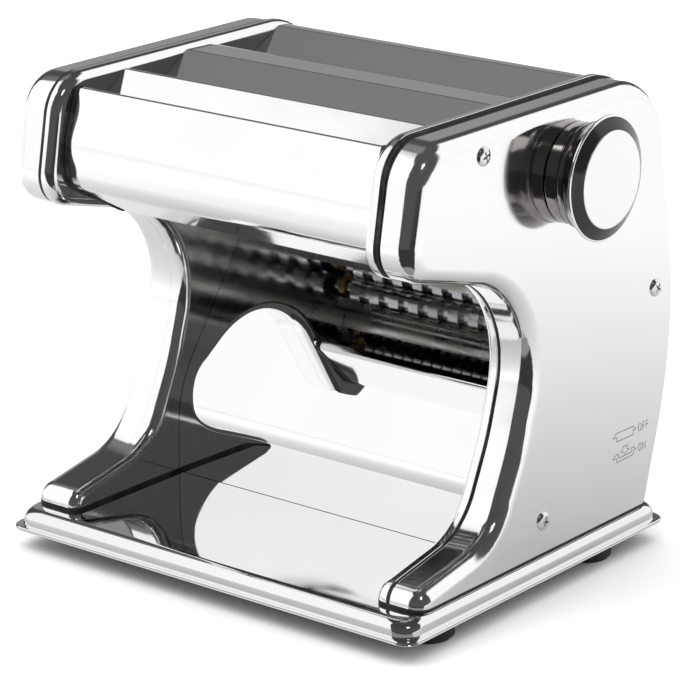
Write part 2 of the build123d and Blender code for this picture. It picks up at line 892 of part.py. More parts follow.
def make_wide_comb(axis, is_rear):
    """Comb whose tines stand in the grooves of a ribbon cutter roller."""
    half = wide_pitch * wide_count / 2
    comb = comb_sector(axis, groove_radius + comb_gap, is_rear)
    disc_space = wide_pitch / 2 + 2 * comb_gap - cutter_side_clearance
    first = -half + wide_pitch / 4 + (wide_pitch / 2 if is_rear else 0)
    for number in range(wide_count):
        centre = first + number * wide_pitch
        comb -= rod(axis, cutter_radius + comb_gap, centre - disc_space / 2, centre + disc_space / 2)
    return comb


def make_wide_combs():
    """Both combs of the ribbon cutter."""
    return Compound([make_wide_comb(wide_front_axis, False), make_wide_comb(wide_rear_axis, True)])


def make_narrow_combs():
    """Both scraper bars of the fine noodle cutter."""
    radius = cutter_radius + comb_gap
    front = comb_sector(narrow_front_axis, radius, False)
    rear = comb_sector(narrow_rear_axis, radius, True)
    return Compound([front, rear])


# ---- adjustable roller carriage and knob --------------------------------------------------
def carriage_block(start_x, thickness, bore_depth):
    """Sliding block with the roller's bearing bore and the link rod's seat."""
    length = block_rear_reach + block_front_reach
    middle_y = knob_y + (block_rear_reach - block_front_reach) / 2
    outline = Pos(middle_y, knob_z) * RectangleRounded(length, 2 * block_half_height, ridge_round)
    block = extrude(at_side(start_x) * outline, amount=thickness)
    link_axis = (knob_y - link_rod_offset, knob_z)
    bore_end = start_x + bore_depth
    block -= rod(adjustable_roller_axis, roller_shaft_radius + running_play, start_x - sheet, bore_end)
    return block - rod(link_axis, link_rod_radius + bore_play, start_x - sheet, bore_end)


def block_start():
    """X of the inner face of the carriage blocks."""
    return plate_out_x + block_clearance


def yoke_start():
    """X of the inner face of the slotted yoke on the right block."""
    return block_start() + right_block_thickness


def make_left_carriage_block():
    """Left sliding block, open for the roller's gear journal."""
    block = carriage_block(block_start(), block_thickness, block_thickness + sheet)
    return mirrored(block)


def make_right_carriage_block():
    """Right sliding block with the yoke that the knob's eccentric moves."""
    block = carriage_block(block_start(), right_block_thickness, right_block_thickness - sheet)
    yoke_centre = (knob_y + eccentric_throw, knob_z)
    height = 2 * (eccentric_radius + eccentric_throw + yoke_clearance)
    width = 2 * (eccentric_radius + yoke_clearance)
    outline = Rectangle(width + 2 * yoke_wall, height + 2 * yoke_wall) - Rectangle(width, height)
    yoke = extrude(at_side(yoke_start()) * Pos(*yoke_centre) * outline, amount=yoke_thickness)
    return block + yoke


def make_link_rod():
    """Rod that joins the two sliding blocks."""
    axis = (knob_y - link_rod_offset, knob_z)
    left_end = -(block_start() + block_thickness)
    right_end = block_start() + right_block_thickness - sheet
    return rod(axis, link_rod_radius, left_end, right_end)


def make_carriage_rails():
    """Rails above and below each sliding block."""
    rails = []
    length = rail_front_reach + rail_rear_reach
    middle_y = knob_y + (rail_rear_reach - rail_front_reach) / 2
    rise = block_half_height + rail_clearance + rail_height / 2
    for side in (-1, 1):
        outline = Pos(middle_y, knob_z + side * rise) * Rectangle(length, rail_height)
        rail = extrude(at_side(plate_out_x) * outline, amount=rail_depth)
        rails.append(rail)
        rails.append(mirrored(rail))
    return Compound(rails)


def knob_base_x():
    """X of the knob's face next to the cover."""
    return outer_face_x + knob_gap


def make_knob_skirt():
    """Flared knob body with two grip grooves, hollow from behind."""
    base = knob_base_x()
    rim = outer_face_x + knob_rim_reach
    neck = base + knob_neck_reach
    waist = base + knob_waist_reach
    outside = [
        (base, knob_shaft_radius + bore_play),
        (base, knob_base_radius),
        (neck, knob_base_radius),
        (neck + knob_groove_depth, knob_base_radius - knob_groove_depth),
        (neck + 2 * knob_groove_depth, knob_base_radius + knob_groove_depth),
        (waist, knob_base_radius + 2 * knob_groove_depth),
        (waist + knob_groove_depth, knob_base_radius + knob_groove_depth),
        (waist + 2 * knob_groove_depth, knob_base_radius + 3 * knob_groove_depth),
        (rim, knob_rim_radius - knob_groove_depth),
        (rim, knob_shaft_radius + bore_play),
    ]
    skirt = revolve(Plane.XZ * make_face(Polyline(*outside, close=True)), axis=Axis.X)
    return Pos(0, *adjustable_roller_axis) * skirt


def make_knob_rim():
    """Rim ring and sloping bezel round the knob's cap."""
    start = outer_face_x + knob_rim_reach
    face = outer_face_x + knob_reach - knob_cap_thickness
    profile = [
        (start, knob_shaft_radius + bore_play),
        (start, knob_rim_radius),
        (start + knob_rim_thickness, knob_rim_radius),
        (face + knob_cap_thickness / 2, knob_cap_radius + knob_gap),
        (face, knob_cap_radius),
        (face, knob_shaft_radius + bore_play),
    ]
    rim = revolve(Plane.XZ * make_face(Polyline(*profile, close=True)), axis=Axis.X)
    return Pos(0, *adjustable_roller_axis) * rim


def make_knob_cap():
    """Satin disc on the knob's end."""
    end = outer_face_x + knob_reach
    disc = rod(adjustable_roller_axis, knob_cap_radius, end - knob_cap_thickness, end)
    return fillet(disc.edges().sort_by(Axis.X)[-1], knob_cap_thickness / 2)


def make_knob_shaft():
    """Knob spindle with the eccentric at its inner end."""
    start = yoke_start() + gear_gap
    end = outer_face_x + knob_reach - knob_cap_thickness
    eccentric_axis = (knob_y + eccentric_throw, knob_z)
    shaft = rod(eccentric_axis, eccentric_radius, start, yoke_start() + yoke_thickness)
    return shaft + rod(adjustable_roller_axis, knob_shaft_radius, start, end)


def make_knob_bush():
    """Flanged bush of the knob spindle in the right cover."""
    inside_x = outer_face_x - sheet
    radius = knob_shaft_radius + bush_wall
    bush = rod(adjustable_roller_axis, radius, inside_x - bush_flange, outer_face_x)
    bush += rod(adjustable_roller_axis, radius + bush_flange, inside_x - bush_flange, inside_x)
    bore = knob_shaft_radius + running_play
    return bush - rod(adjustable_roller_axis, bore, inside_x - 2 * bush_flange, outer_face_x + sheet)


# ---- motor --------------------------------------------------------------------------------
def gearbox_inner_x():
    """X of the gearbox face that the motor is bolted to."""
    return -(inner_face_x - side_play) + gearbox_depth


def make_gearbox():
    """Reduction box on the left dish, with the output bearing."""
    axis = (motor_y, motor_z)
    start_x = -(inner_face_x - side_play)
    big = Pos(*axis) * Circle(motor_radius + gearbox_wall)
    small = Pos(*pinion_axis) * Circle(output_boss_radius)
    outline = make_hull([*big.edges(), *small.edges()])
    box = extrude(at_side(start_x) * outline, amount=gearbox_depth)
    box = fillet(box.faces().sort_by(Axis.X)[-1].edges(), gearbox_wall / 2)
    bore = rod(pinion_axis, output_shaft_radius + running_play, start_x - sheet, start_x + output_bore_depth)
    return box - bore


def make_motor():
    """Motor can with stepped end cap and bearing boss."""
    axis = (motor_y, motor_z)
    start = gearbox_inner_x()
    end = start + motor_length
    cap_end = end + motor_cap_length
    can = rod(axis, motor_radius, start, end)
    can = fillet(can.edges().sort_by(Axis.X)[-1], gearbox_wall)
    cap = rod(axis, motor_cap_radius, end, cap_end)
    return can + cap + rod(axis, motor_boss_radius, cap_end, cap_end + motor_boss_length)


def make_motor_cradle():
    """Saddle that carries the motor on the base pan."""
    low = pan_top
    half_top = cradle_half_base - cradle_rise / 2
    top = motor_z - motor_radius + cradle_rise
    outline = make_face(
        Polyline(
            (motor_y - cradle_half_base, low),
            (motor_y + cradle_half_base, low),
            (motor_y + half_top, top),
            (motor_y - half_top, top),
            close=True,
        )
    )
    outline -= Pos(motor_y, motor_z) * Circle(motor_radius + bore_play)
    start_x = gearbox_inner_x() + motor_length / 2 - cradle_width / 2
    return extrude(at_side(start_x) * outline, amount=cradle_width)


def make_motor_pinion():
    """Output gear of the gearbox on its shaft."""
    gear = make_train_gear(pinion_axis, pinion_teeth, pinion_phase, output_shaft_radius / 2)
    shaft_end = -(inner_face_x - side_play) + output_bore_depth - gear_gap
    return gear + rod(pinion_axis, output_shaft_radius, -(train_layer + train_width + sheet), shaft_end)


# ---- rear controls ------------------------------------------------------------------------
def make_power_button():
    """Push button cap with its stem."""
    plane = rear_plane(button_x, button_z)
    cap_depth = bezel_depth / 2
    cap = extrude(plane.offset(-cap_depth) * Circle(button_radius), amount=cap_depth + button_proud)
    cap = fillet(cap.edges().sort_by(Axis(plane.origin, plane.z_dir))[-1], button_edge_round)
    stem_end = bezel_depth + button_travel / 2
    stem = extrude(plane.offset(-stem_end) * Circle(button_stem_radius), amount=stem_end)
    return cap + stem


def make_button_bezel():
    """Round bezel that guides the push button."""
    plane = rear_plane(button_x, button_z)
    bore = button_radius + button_play
    bezel = extrude(plane.offset(-bezel_depth) * Circle(bore + bezel_wall), amount=bezel_depth)
    flange = Circle(bore + bezel_wall + bezel_flange)
    bezel += extrude(plane * flange, amount=bezel_flange_thickness)
    return bezel - extrude(plane.offset(-2 * bezel_depth) * Circle(bore), amount=3 * bezel_depth)


def make_power_switch():
    """Latching switch behind the push button."""
    plane = rear_plane(button_x, button_z).offset(-bezel_depth)
    body = extrude(plane * RectangleRounded(switch_size, switch_size, sheet), amount=-switch_depth)
    well = Circle(button_stem_radius + button_play)
    return body - extrude(plane * well, amount=-(2 * button_travel + sheet))


def make_cord_inlet():
    """Flanged inlet for the mains cord."""
    plane = rear_plane(inlet_x, inlet_z)
    outside = inlet_bore_radius + inlet_wall
    inlet = extrude(plane.offset(-inlet_reach) * Circle(outside), amount=inlet_reach)
    inlet += extrude(plane * Circle(outside + inlet_flange), amount=inlet_flange_thickness)
    return inlet - extrude(
        plane.offset(-2 * inlet_reach) * Circle(inlet_bore_radius), amount=3 * inlet_reach
    )


# ---- assembly -----------------------------------------------------------------------------
cutter_bore = cutter_shaft_radius + bore_play
idler_bore = stud_radius + running_play
pieces = {
    "base_pan": make_base_pan(),
    "bottom_plate": make_bottom_plate(),
    "rubber_feet": make_rubber_feet(),
    "foot_screws": make_foot_screws(),
    "left_inner_shell": make_inner_shell(True),
    "right_inner_shell": make_inner_shell(False),
    "left_outer_cover": make_outer_cover(True),
    "right_outer_cover": make_outer_cover(False),
    "left_seam_gasket": make_seam_gasket(True),
    "right_seam_gasket": make_seam_gasket(False),
    "cover_posts": make_cover_posts(),
    "cover_screws": make_cover_screws(),
    "front_panel": make_front_panel(),
    "front_guide": make_front_guide(),
    "front_divider": make_front_divider(),
    "middle_divider": make_middle_divider(),
    "rear_cover": make_rear_cover(),
    "guide_plate": make_guide_plate(),
    "tie_rods": make_tie_rods(),
    "tie_rod_nuts": make_tie_nuts(),
    "shaft_bushes": make_shaft_bushes(),
    "idler_studs": make_idler_studs(),
    "retaining_clips": make_retaining_clips(),
    "carriage_rails": make_carriage_rails(),
    "wide_cutter_combs": make_wide_combs(),
    "narrow_cutter_combs": make_narrow_combs(),
    "motor": make_motor(),
    "motor_gearbox": make_gearbox(),
    "motor_cradle": make_motor_cradle(),
    "power_switch": make_power_switch(),
    "power_button_bezel": make_button_bezel(),
    "cord_inlet": make_cord_inlet(),
    "knob_bush": make_knob_bush(),
    "fixed_roller": make_sheet_roller(fixed_roller_axis, left_shaft_end(True), right_shaft_end()),
    "fixed_roller_gear": make_roller_gear(fixed_roller_axis, adjustable_roller_axis, False),
    "input_gear": make_train_gear(
        fixed_roller_axis, input_teeth, input_phase, roller_shaft_radius + bore_play
    ),
    "adjustable_roller": make_sheet_roller(
        adjustable_roller_axis,
        left_shaft_end(False),
        block_start() + right_block_thickness - sheet - running_play,
    ),
    "adjustable_roller_gear": make_roller_gear(adjustable_roller_axis, fixed_roller_axis, True),
    "left_carriage_block": make_left_carriage_block(),
    "right_carriage_block": make_right_carriage_block(),
    "carriage_link_rod": make_link_rod(),
    "wide_cutter_rear": make_wide_cutter(wide_rear_axis, True),
    "wide_cutter_front": make_wide_cutter(wide_front_axis, False),
    "narrow_cutter_rear": make_narrow_cutter(narrow_rear_axis, True),
    "narrow_cutter_front": make_narrow_cutter(narrow_front_axis, False),
    "wide_cutter_rear_gear": make_pair_gear(wide_rear_axis, wide_front_axis, False),
    "wide_cutter_front_gear": make_pair_gear(wide_front_axis, wide_rear_axis, True),
    "narrow_cutter_rear_gear": make_pair_gear(narrow_rear_axis, narrow_front_axis, False),
    "narrow_cutter_front_gear": make_pair_gear(narrow_front_axis, narrow_rear_axis, True),
    "wide_cutter_drive_gear": make_train_gear(
        wide_rear_axis, cutter_teeth, wide_drive_phase, cutter_bore
    ),
    "narrow_cutter_drive_gear": make_train_gear(
        narrow_rear_axis, cutter_teeth, narrow_drive_phase, cutter_bore
    ),
    "rear_idler_gear": make_train_gear(
        rear_idler_axis, rear_idler_teeth, rear_idler_phase, idler_bore
    ),
    "front_idler_gear": make_train_gear(
        front_idler_axis, front_idler_teeth, front_idler_phase, idler_bore
    ),
    "transfer_gear": make_train_gear(transfer_axis, transfer_teeth, transfer_phase, idler_bore),
    "motor_pinion": make_motor_pinion(),
    "knob_skirt": make_knob_skirt(),
    "knob_rim": make_knob_rim(),
    "knob_cap": make_knob_cap(),
    "knob_shaft": make_knob_shaft(),
    "power_button": make_power_button(),
}


def footprint_shift(shapes):
    """Move that puts the middle of the overall footprint at the origin."""
    boxes = [shape.bounding_box() for shape in shapes]
    middle_x = (min(box.min.X for box in boxes) + max(box.max.X for box in boxes)) / 2
    middle_y = (min(box.min.Y for box in boxes) + max(box.max.Y for box in boxes)) / 2
    return Pos(-middle_x, -middle_y, 0)


shift = footprint_shift(pieces.values())
for node, piece in pieces.items():
    export_step(shift * piece, f"parts/{node}.step")
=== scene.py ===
import json
import logging
import math
from abc import ABC, abstractmethod
from dataclasses import dataclass
from enum import Enum
from typing import Callable, Iterable, Sequence

import bmesh
import bpy
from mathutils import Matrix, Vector

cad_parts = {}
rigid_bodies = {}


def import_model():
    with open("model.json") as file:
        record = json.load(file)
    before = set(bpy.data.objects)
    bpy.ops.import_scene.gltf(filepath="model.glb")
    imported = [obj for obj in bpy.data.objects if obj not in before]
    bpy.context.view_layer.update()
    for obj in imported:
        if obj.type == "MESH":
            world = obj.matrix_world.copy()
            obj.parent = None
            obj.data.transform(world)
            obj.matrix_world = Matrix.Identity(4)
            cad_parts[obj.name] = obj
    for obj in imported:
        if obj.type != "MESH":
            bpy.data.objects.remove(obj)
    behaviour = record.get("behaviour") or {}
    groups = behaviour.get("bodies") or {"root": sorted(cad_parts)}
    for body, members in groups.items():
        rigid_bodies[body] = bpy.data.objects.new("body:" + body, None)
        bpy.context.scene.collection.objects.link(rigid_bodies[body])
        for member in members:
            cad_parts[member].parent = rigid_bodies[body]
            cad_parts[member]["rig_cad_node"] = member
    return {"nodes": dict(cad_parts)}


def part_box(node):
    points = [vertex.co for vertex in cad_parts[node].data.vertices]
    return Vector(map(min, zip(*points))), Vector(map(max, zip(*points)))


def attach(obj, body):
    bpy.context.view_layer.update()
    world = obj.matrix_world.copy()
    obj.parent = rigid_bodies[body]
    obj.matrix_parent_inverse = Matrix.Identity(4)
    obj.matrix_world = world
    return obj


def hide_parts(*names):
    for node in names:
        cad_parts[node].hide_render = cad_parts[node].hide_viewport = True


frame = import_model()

log = logging.getLogger("pasta_maker")

Colour = tuple[float, float, float]
Place = tuple[float, float, float]
Spot = tuple[float, float]
# Scale per metre, stretch along X, Y and Z, octaves, and weight of the fine octaves
Noise = tuple[float, Place, float, float]

STARTING_KINDS = {"MESH", "LIGHT", "CAMERA"}
for spare in [thing for thing in bpy.data.objects if thing.type in STARTING_KINDS]:
    if "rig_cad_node" not in spare:
        bpy.data.objects.remove(spare)
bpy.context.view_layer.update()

MILLIMETRE = 0.001
WELD_DISTANCE = 0.000002
FLAT_TOLERANCE = 0.00001
# Largest bend between two faces that still counts as round, in degrees
ROUND_BEND = 24.0
EVEN: Place = (1.0, 1.0, 1.0)
PAN_LOW, PAN_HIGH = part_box("base_pan")
MIDDLE_X = (PAN_LOW.x + PAN_HIGH.x) / 2
MIDDLE_Y = (PAN_LOW.y + PAN_HIGH.y) / 2


def at(x: float, y: float, z: float) -> Vector:
    """Point of the machine in metres.

    Args:
        x: Millimetres from the middle between the side housings.
        y: Millimetres from the middle of the base pan, to the rear.
        z: Millimetres above the floor.

    Returns:
        The same point in the shared frame.
    """
    return Vector((x * MILLIMETRE + MIDDLE_X, y * MILLIMETRE + MIDDLE_Y, z * MILLIMETRE))


# ---- shader graphs ------------------------------------------------------------------------
class ShaderGraph:
    """Node tree of a material or a world, with short calls that add and join nodes."""

    def __init__(self, tree: bpy.types.NodeTree) -> None:
        """Empties the tree.

        Args:
            tree: Node tree to build in.
        """
        self.tree = tree
        self.tree.nodes.clear()

    def add(self, kind: str, **settings: object) -> bpy.types.Node:
        """Adds a node.

        Args:
            kind: Node type without its ShaderNode prefix.
            **settings: Attributes to set on the node.

        Returns:
            The new node.
        """
        node = self.tree.nodes.new("ShaderNode" + kind)
        for name, value in settings.items():
            setattr(node, name, value)
        return node

    def feed(self, socket: bpy.types.NodeSocket, value: object) -> None:
        """Joins a socket to another one, or sets its value.

        Args:
            socket: Input socket.
            value: Output socket, number, colour or vector.
        """
        if isinstance(value, bpy.types.NodeSocket):
            self.tree.links.new(value, socket)
        elif isinstance(value, (tuple, list)) and len(value) == 3 and socket.type == "RGBA":
            socket.default_value = (*value, 1.0)
        else:
            socket.default_value = value

    def calc(self, operation: str, *values: object) -> bpy.types.NodeSocket:
        """Does sums on numbers.

        Args:
            operation: Name of the sum, as on the Math node.
            *values: Numbers or sockets.

        Returns:
            The result's socket.
        """
        node = self.add("Math", operation=operation)
        for socket, value in zip(node.inputs, values):
            self.feed(socket, value)
        return node.outputs[0]

    def rise(self, start: object, value: object, gain: float) -> bpy.types.NodeSocket:
        """Adds a share of a number to another one.

        Args:
            start: Number or socket.
            value: Number or socket that is added.
            gain: Share of it.

        Returns:
            The result's socket.
        """
        return self.calc("ADD", start, self.calc("MULTIPLY", value, gain))

    def fade(
        self, value: object, start: float, end: float, low: float = 0.0, high: float = 1.0
    ) -> bpy.types.NodeSocket:
        """Maps a number smoothly from one range to another.

        Args:
            value: Number or socket.
            start: Value that gives low.
            end: Value that gives high.
            low: First result.
            high: Last result.

        Returns:
            The result's socket.
        """
        node = self.add("MapRange", interpolation_type="SMOOTHSTEP")
        for socket, number in zip(node.inputs, (value, start, end, low, high)):
            self.feed(socket, number)
        return node.outputs[0]

    def blend(self, factor: object, first: object, second: object) -> bpy.types.NodeSocket:
        """Mixes two colours.

        Args:
            factor: Share of the second colour.
            first: Colour or socket.
            second: Colour or socket.

        Returns:
            The mixed colour's socket.
        """
        node = self.add("Mix", data_type="RGBA")
        self.feed(node.inputs["Factor"], factor)
        self.feed(node.inputs[6], first)
        self.feed(node.inputs[7], second)
        return node.outputs[2]

    def spot(
        self, scale: float, stretch: Place = EVEN, detail: float = 3.0, rough: float = 0.5
    ) -> bpy.types.NodeSocket:
        """Noise in the piece's own space.

        Args:
            scale: Size of the pattern, per metre.
            stretch: Factors along X, Y and Z.
            detail: Octaves.
            rough: Weight of the fine octaves.

        Returns:
            The noise value's socket.
        """
        place = self.add("TexCoord").outputs["Object"]
        mapping = self.add("Mapping")
        self.feed(mapping.inputs["Vector"], place)
        mapping.inputs["Scale"].default_value = stretch
        noise = self.add("TexNoise")
        self.feed(noise.inputs["Vector"], mapping.outputs[0])
        self.feed(noise.inputs["Scale"], scale)
        self.feed(noise.inputs["Detail"], detail)
        self.feed(noise.inputs["Roughness"], rough)
        return noise.outputs[0]

    def bump(self, height: object, distance: float, strength: float) -> bpy.types.NodeSocket:
        """Turns a height into a normal.

        Args:
            height: Height's socket, from 0 to 1.
            distance: Height of 1, in metres.
            strength: Share of the effect.

        Returns:
            The normal's socket.
        """
        node = self.add("Bump")
        self.feed(node.inputs["Strength"], strength)
        self.feed(node.inputs["Distance"], distance)
        self.feed(node.inputs["Height"], height)
        return node.outputs[0]


class Surface:
    """Material with one principled shader and its node graph."""

    def __init__(self, name: str, metallic: float) -> None:
        """Starts a plain material.

        Args:
            name: Name of the material.
            metallic: 1 for bare metal.
        """
        self.material = bpy.data.materials.new(name)
        self.material.use_nodes = True
        self.graph = ShaderGraph(self.material.node_tree)
        self.shader = self.graph.add("BsdfPrincipled")
        self.graph.feed(self.graph.add("OutputMaterial").inputs[0], self.shader.outputs[0])
        self.set("Metallic", metallic)

    def set(self, socket: str, value: object) -> None:
        """Sets or joins one of the shader's sockets."""
        self.graph.feed(self.shader.inputs[socket], value)


# ---- finishes -----------------------------------------------------------------------------
class Grain(Enum):
    """Direction of a finish's fine lines."""

    ACROSS = (0.04, 1.0, 1.0)
    UPRIGHT = (1.0, 1.0, 0.04)
    ROUND_X = (1.0, 0.02, 0.02)


@dataclass(frozen=True)
class PolishedSteel:
    """Mirror-polished steel with polishing lines, smudges and a few hairline scratches."""

    name: str
    colour: Colour = (0.95, 0.95, 0.953)
    shine: float = 0.06
    smudge: float = 0.07
    grain: Grain = Grain.ACROSS
    darkest_tone: float = 0.965
    line_height: float = 0.12
    scratch_depth: float = 0.5
    relief_depth: float = 0.0000012

    def make(self) -> bpy.types.Material:
        """Builds the material."""
        surface = Surface(self.name, 1.0)
        graph = surface.graph
        lines = graph.spot(2600.0, self.grain.value, 2.0, 0.6)
        smudges = graph.fade(graph.spot(22.0, (1.0, 1.3, 0.8), 4.0, 0.6), 0.42, 0.72)
        fine = graph.rise(self.shine * 0.6, lines, self.shine * 0.7)
        surface.set("Roughness", graph.rise(fine, smudges, self.smudge))
        tone = graph.fade(graph.spot(9.0, (1.0, 0.7, 1.2)), 0.3, 0.7)
        darker = tuple(part * self.darkest_tone for part in self.colour)
        surface.set("Base Color", graph.blend(tone, darker, self.colour))
        scratches = graph.fade(graph.spot(900.0, self.grain.value, 1.0, 0.4), 0.72, 0.8)
        raised = graph.calc("MULTIPLY", lines, self.line_height)
        height = graph.rise(raised, scratches, -self.scratch_depth)
        surface.set("Normal", graph.bump(height, self.relief_depth, 0.6))
        return surface.material


@dataclass(frozen=True)
class TurnedSteel:
    """Ground or turned steel with fine lines and a thin film of oil."""

    name: str
    colour: Colour = (0.62, 0.63, 0.64)
    rough: float = 0.26
    oiled_tone: float = 0.78
    oil_share: float = 0.7

    def make(self) -> bpy.types.Material:
        """Builds the material."""
        surface = Surface(self.name, 1.0)
        graph = surface.graph
        lines = graph.spot(3400.0, Grain.ROUND_X.value, 3.0, 0.65)
        film = graph.fade(graph.spot(45.0, EVEN, 4.0), 0.35, 0.7)
        surface.set("Roughness", graph.rise(self.rough * 0.7, film, self.rough * 0.5))
        dull = tuple(part * self.oiled_tone for part in self.colour)
        oil = graph.calc("MULTIPLY", film, self.oil_share)
        surface.set("Base Color", graph.blend(oil, self.colour, dull))
        surface.set("Normal", graph.bump(lines, 0.000004, 0.5))
        return surface.material


@dataclass(frozen=True)
class PatchedFinish:
    """Base colour with patches of a second one, which change the roughness, over a relief."""

    name: str
    colour: Colour
    patch_colour: Colour = (0.0, 0.0, 0.0)
    metallic: float = 0.0
    patches: Noise = (50.0, EVEN, 4.0, 0.5)
    patch_range: Spot = (0.4, 0.75)
    roughness: Spot = (0.4, 0.2)
    relief: Noise | None = (700.0, EVEN, 3.0, 0.5)
    relief_depth: float = 0.00001
    relief_strength: float = 0.4
    extras: tuple[tuple[str, float], ...] = ()

    def make(self) -> bpy.types.Material:
        """Builds the material, with the patches as its relief where it has none of its own."""
        surface = Surface(self.name, self.metallic)
        graph = surface.graph
        patch = graph.fade(graph.spot(*self.patches), *self.patch_range)
        surface.set("Base Color", graph.blend(patch, self.colour, self.patch_colour))
        surface.set("Roughness", graph.rise(self.roughness[0], patch, self.roughness[1]))
        height = graph.spot(*self.relief) if self.relief else patch
        surface.set("Normal", graph.bump(height, self.relief_depth, self.relief_strength))
        for socket, value in self.extras:
            surface.set(socket, value)
        return surface.material


@dataclass(frozen=True)
class ZincPlate(PatchedFinish):
    """Zinc-plated steel with a faint blue and yellow bloom."""

    colour: Colour = (0.66, 0.67, 0.68)
    patch_colour: Colour = (0.70, 0.68, 0.60)
    metallic: float = 1.0
    patches: Noise = (60.0, EVEN, 5.0, 0.6)
    patch_range: Spot = (0.35, 0.68)
    roughness: Spot = (0.22, 0.16)
    relief: Noise = (1500.0, EVEN, 4.0, 0.5)


@dataclass(frozen=True)
class KnobChrome(PatchedFinish):
    """Warm dark chrome over a moulded knob, dulled where it is held."""

    colour: Colour = (0.35, 0.335, 0.32)
    patch_colour: Colour = (0.308, 0.2948, 0.2816)
    metallic: float = 1.0
    patches: Noise = (70.0, EVEN, 4.0, 0.5)
    patch_range: Spot = (0.45, 0.75)
    roughness: Spot = (0.03, 0.06)
    relief: Noise = (2400.0, Grain.ROUND_X.value, 2.0, 0.5)
    relief_depth: float = 0.000001
    relief_strength: float = 0.5


@dataclass(frozen=True)
class GlossBlack(PatchedFinish):
    """Gloss black moulding under a clear coat, with faint wiping marks."""

    colour: Colour = (0.012, 0.012, 0.013)
    patch_colour: Colour = (0.02, 0.02, 0.021)
    patches: Noise = (110.0, (1.0, 0.5, 1.0), 4.0, 0.5)
    roughness: Spot = (0.09, 0.12)
    relief_depth: float = 0.000003
    extras: tuple[tuple[str, float], ...] = (
        ("Coat Weight", 0.25),
        ("Coat Roughness", 0.04),
        ("Specular IOR Level", 0.3),
    )


@dataclass(frozen=True)
class SpunDisc:
    """Satin disc with fine rings about the knob's axis."""

    name: str
    centre: Place
    valley: Colour = (0.92, 0.92, 0.925)
    ridge: Colour = (0.99, 0.99, 0.99)
    ring_scale: float = 9000.0

    def make(self) -> bpy.types.Material:
        """Builds the material."""
        surface = Surface(self.name, 1.0)
        graph = surface.graph
        place = graph.add("TexCoord").outputs["Object"]
        away = graph.add("VectorMath", operation="SUBTRACT")
        graph.feed(away.inputs[0], place)
        away.inputs[1].default_value = self.centre
        flat = graph.add("VectorMath", operation="MULTIPLY")
        graph.feed(flat.inputs[0], away.outputs[0])
        flat.inputs[1].default_value = (0.0, 1.0, 1.0)
        radius = graph.add("VectorMath", operation="LENGTH")
        graph.feed(radius.inputs[0], flat.outputs[0])
        rings = graph.add("TexNoise", noise_dimensions="1D")
        graph.feed(rings.inputs["W"], radius.outputs["Value"])
        graph.feed(rings.inputs["Scale"], self.ring_scale)
        graph.feed(rings.inputs["Detail"], 2.0)
        surface.set("Roughness", graph.rise(0.24, rings.outputs[0], 0.14))
        surface.set("Base Color", graph.blend(rings.outputs[0], self.valley, self.ridge))
        surface.set("Normal", graph.bump(rings.outputs[0], 0.000003, 0.5))
        return surface.material


@dataclass(frozen=True)
class Rubber(PatchedFinish):
    """Black rubber with a dry bloom and fine pits."""

    colour: Colour = (0.018, 0.018, 0.018)
    patch_colour: Colour = (0.045, 0.044, 0.042)
    patches: Noise = (90.0, EVEN, 5.0, 0.65)
    roughness: Spot = (0.6, 0.25)
    relief: Noise = (1800.0, EVEN, 5.0, 0.5)
    relief_depth: float = 0.00003
    relief_strength: float = 0.5


@dataclass(frozen=True)
class MouldedPlastic(PatchedFinish):
    """Moulded plastic with a spark-eroded texture."""

    colour: Colour = (0.022, 0.022, 0.023)
    patch_colour: Colour = (0.0315, 0.0315, 0.03275)
    patch_range: Spot = (0.35, 0.7)
    roughness: Spot = (0.357, 0.126)
    relief: Noise = (2600.0, EVEN, 2.0, 0.5)
    relief_depth: float = 0.00002
    relief_strength: float = 0.6


@dataclass(frozen=True)
class Nylon(PatchedFinish):
    """Natural nylon, slightly see-through, greyed by grease near the teeth."""

    colour: Colour = (0.80, 0.77, 0.68)
    patch_colour: Colour = (0.62, 0.58, 0.48)
    patches: Noise = (80.0, EVEN, 5.0, 0.5)
    patch_range: Spot = (0.4, 0.7)
    roughness: Spot = (0.45, -0.2)
    relief: Noise = (900.0, EVEN, 3.0, 0.5)
    extras: tuple[tuple[str, float], ...] = (
        ("Subsurface Weight", 0.15),
        ("Subsurface Scale", 0.002),
    )


@dataclass(frozen=True)
class Bronze(PatchedFinish):
    """Sintered bronze, its base colour being that of the open pores."""

    colour: Colour = (0.22, 0.14, 0.07)
    patch_colour: Colour = (0.55, 0.36, 0.17)
    metallic: float = 1.0
    patches: Noise = (2200.0, EVEN, 2.0, 0.5)
    patch_range: Spot = (0.38, 0.5)
    roughness: Spot = (0.55, -0.18)
    relief: Noise | None = None
    relief_depth: float = 0.00003
    relief_strength: float = 0.5


@dataclass(frozen=True)
class Enamel(PatchedFinish):
    """Stoved enamel with a light orange-peel surface."""

    colour: Colour = (0.03, 0.03, 0.032)
    patch_colour: Colour = (0.06, 0.058, 0.055)
    patches: Noise = (40.0, EVEN, 5.0, 0.5)
    roughness: Spot = (0.26, 0.25)
    relief: Noise = (420.0, EVEN, 3.0, 0.5)
    relief_depth: float = 0.00004
    extras: tuple[tuple[str, float], ...] = (("Coat Weight", 0.3),)


@dataclass(frozen=True)
class EtchedMark(PatchedFinish):
    """Grey etched marking, slightly uneven in depth."""

    colour: Colour = (0.16, 0.16, 0.165)
    patch_colour: Colour = (0.30, 0.30, 0.305)
    metallic: float = 0.3
    patches: Noise = (400.0, EVEN, 3.0, 0.5)
    patch_range: Spot = (0.4, 0.8)
    roughness: Spot = (0.5, 0.2)
    relief: Noise = (3000.0, EVEN, 3.0, 0.5)
    relief_strength: float = 0.5


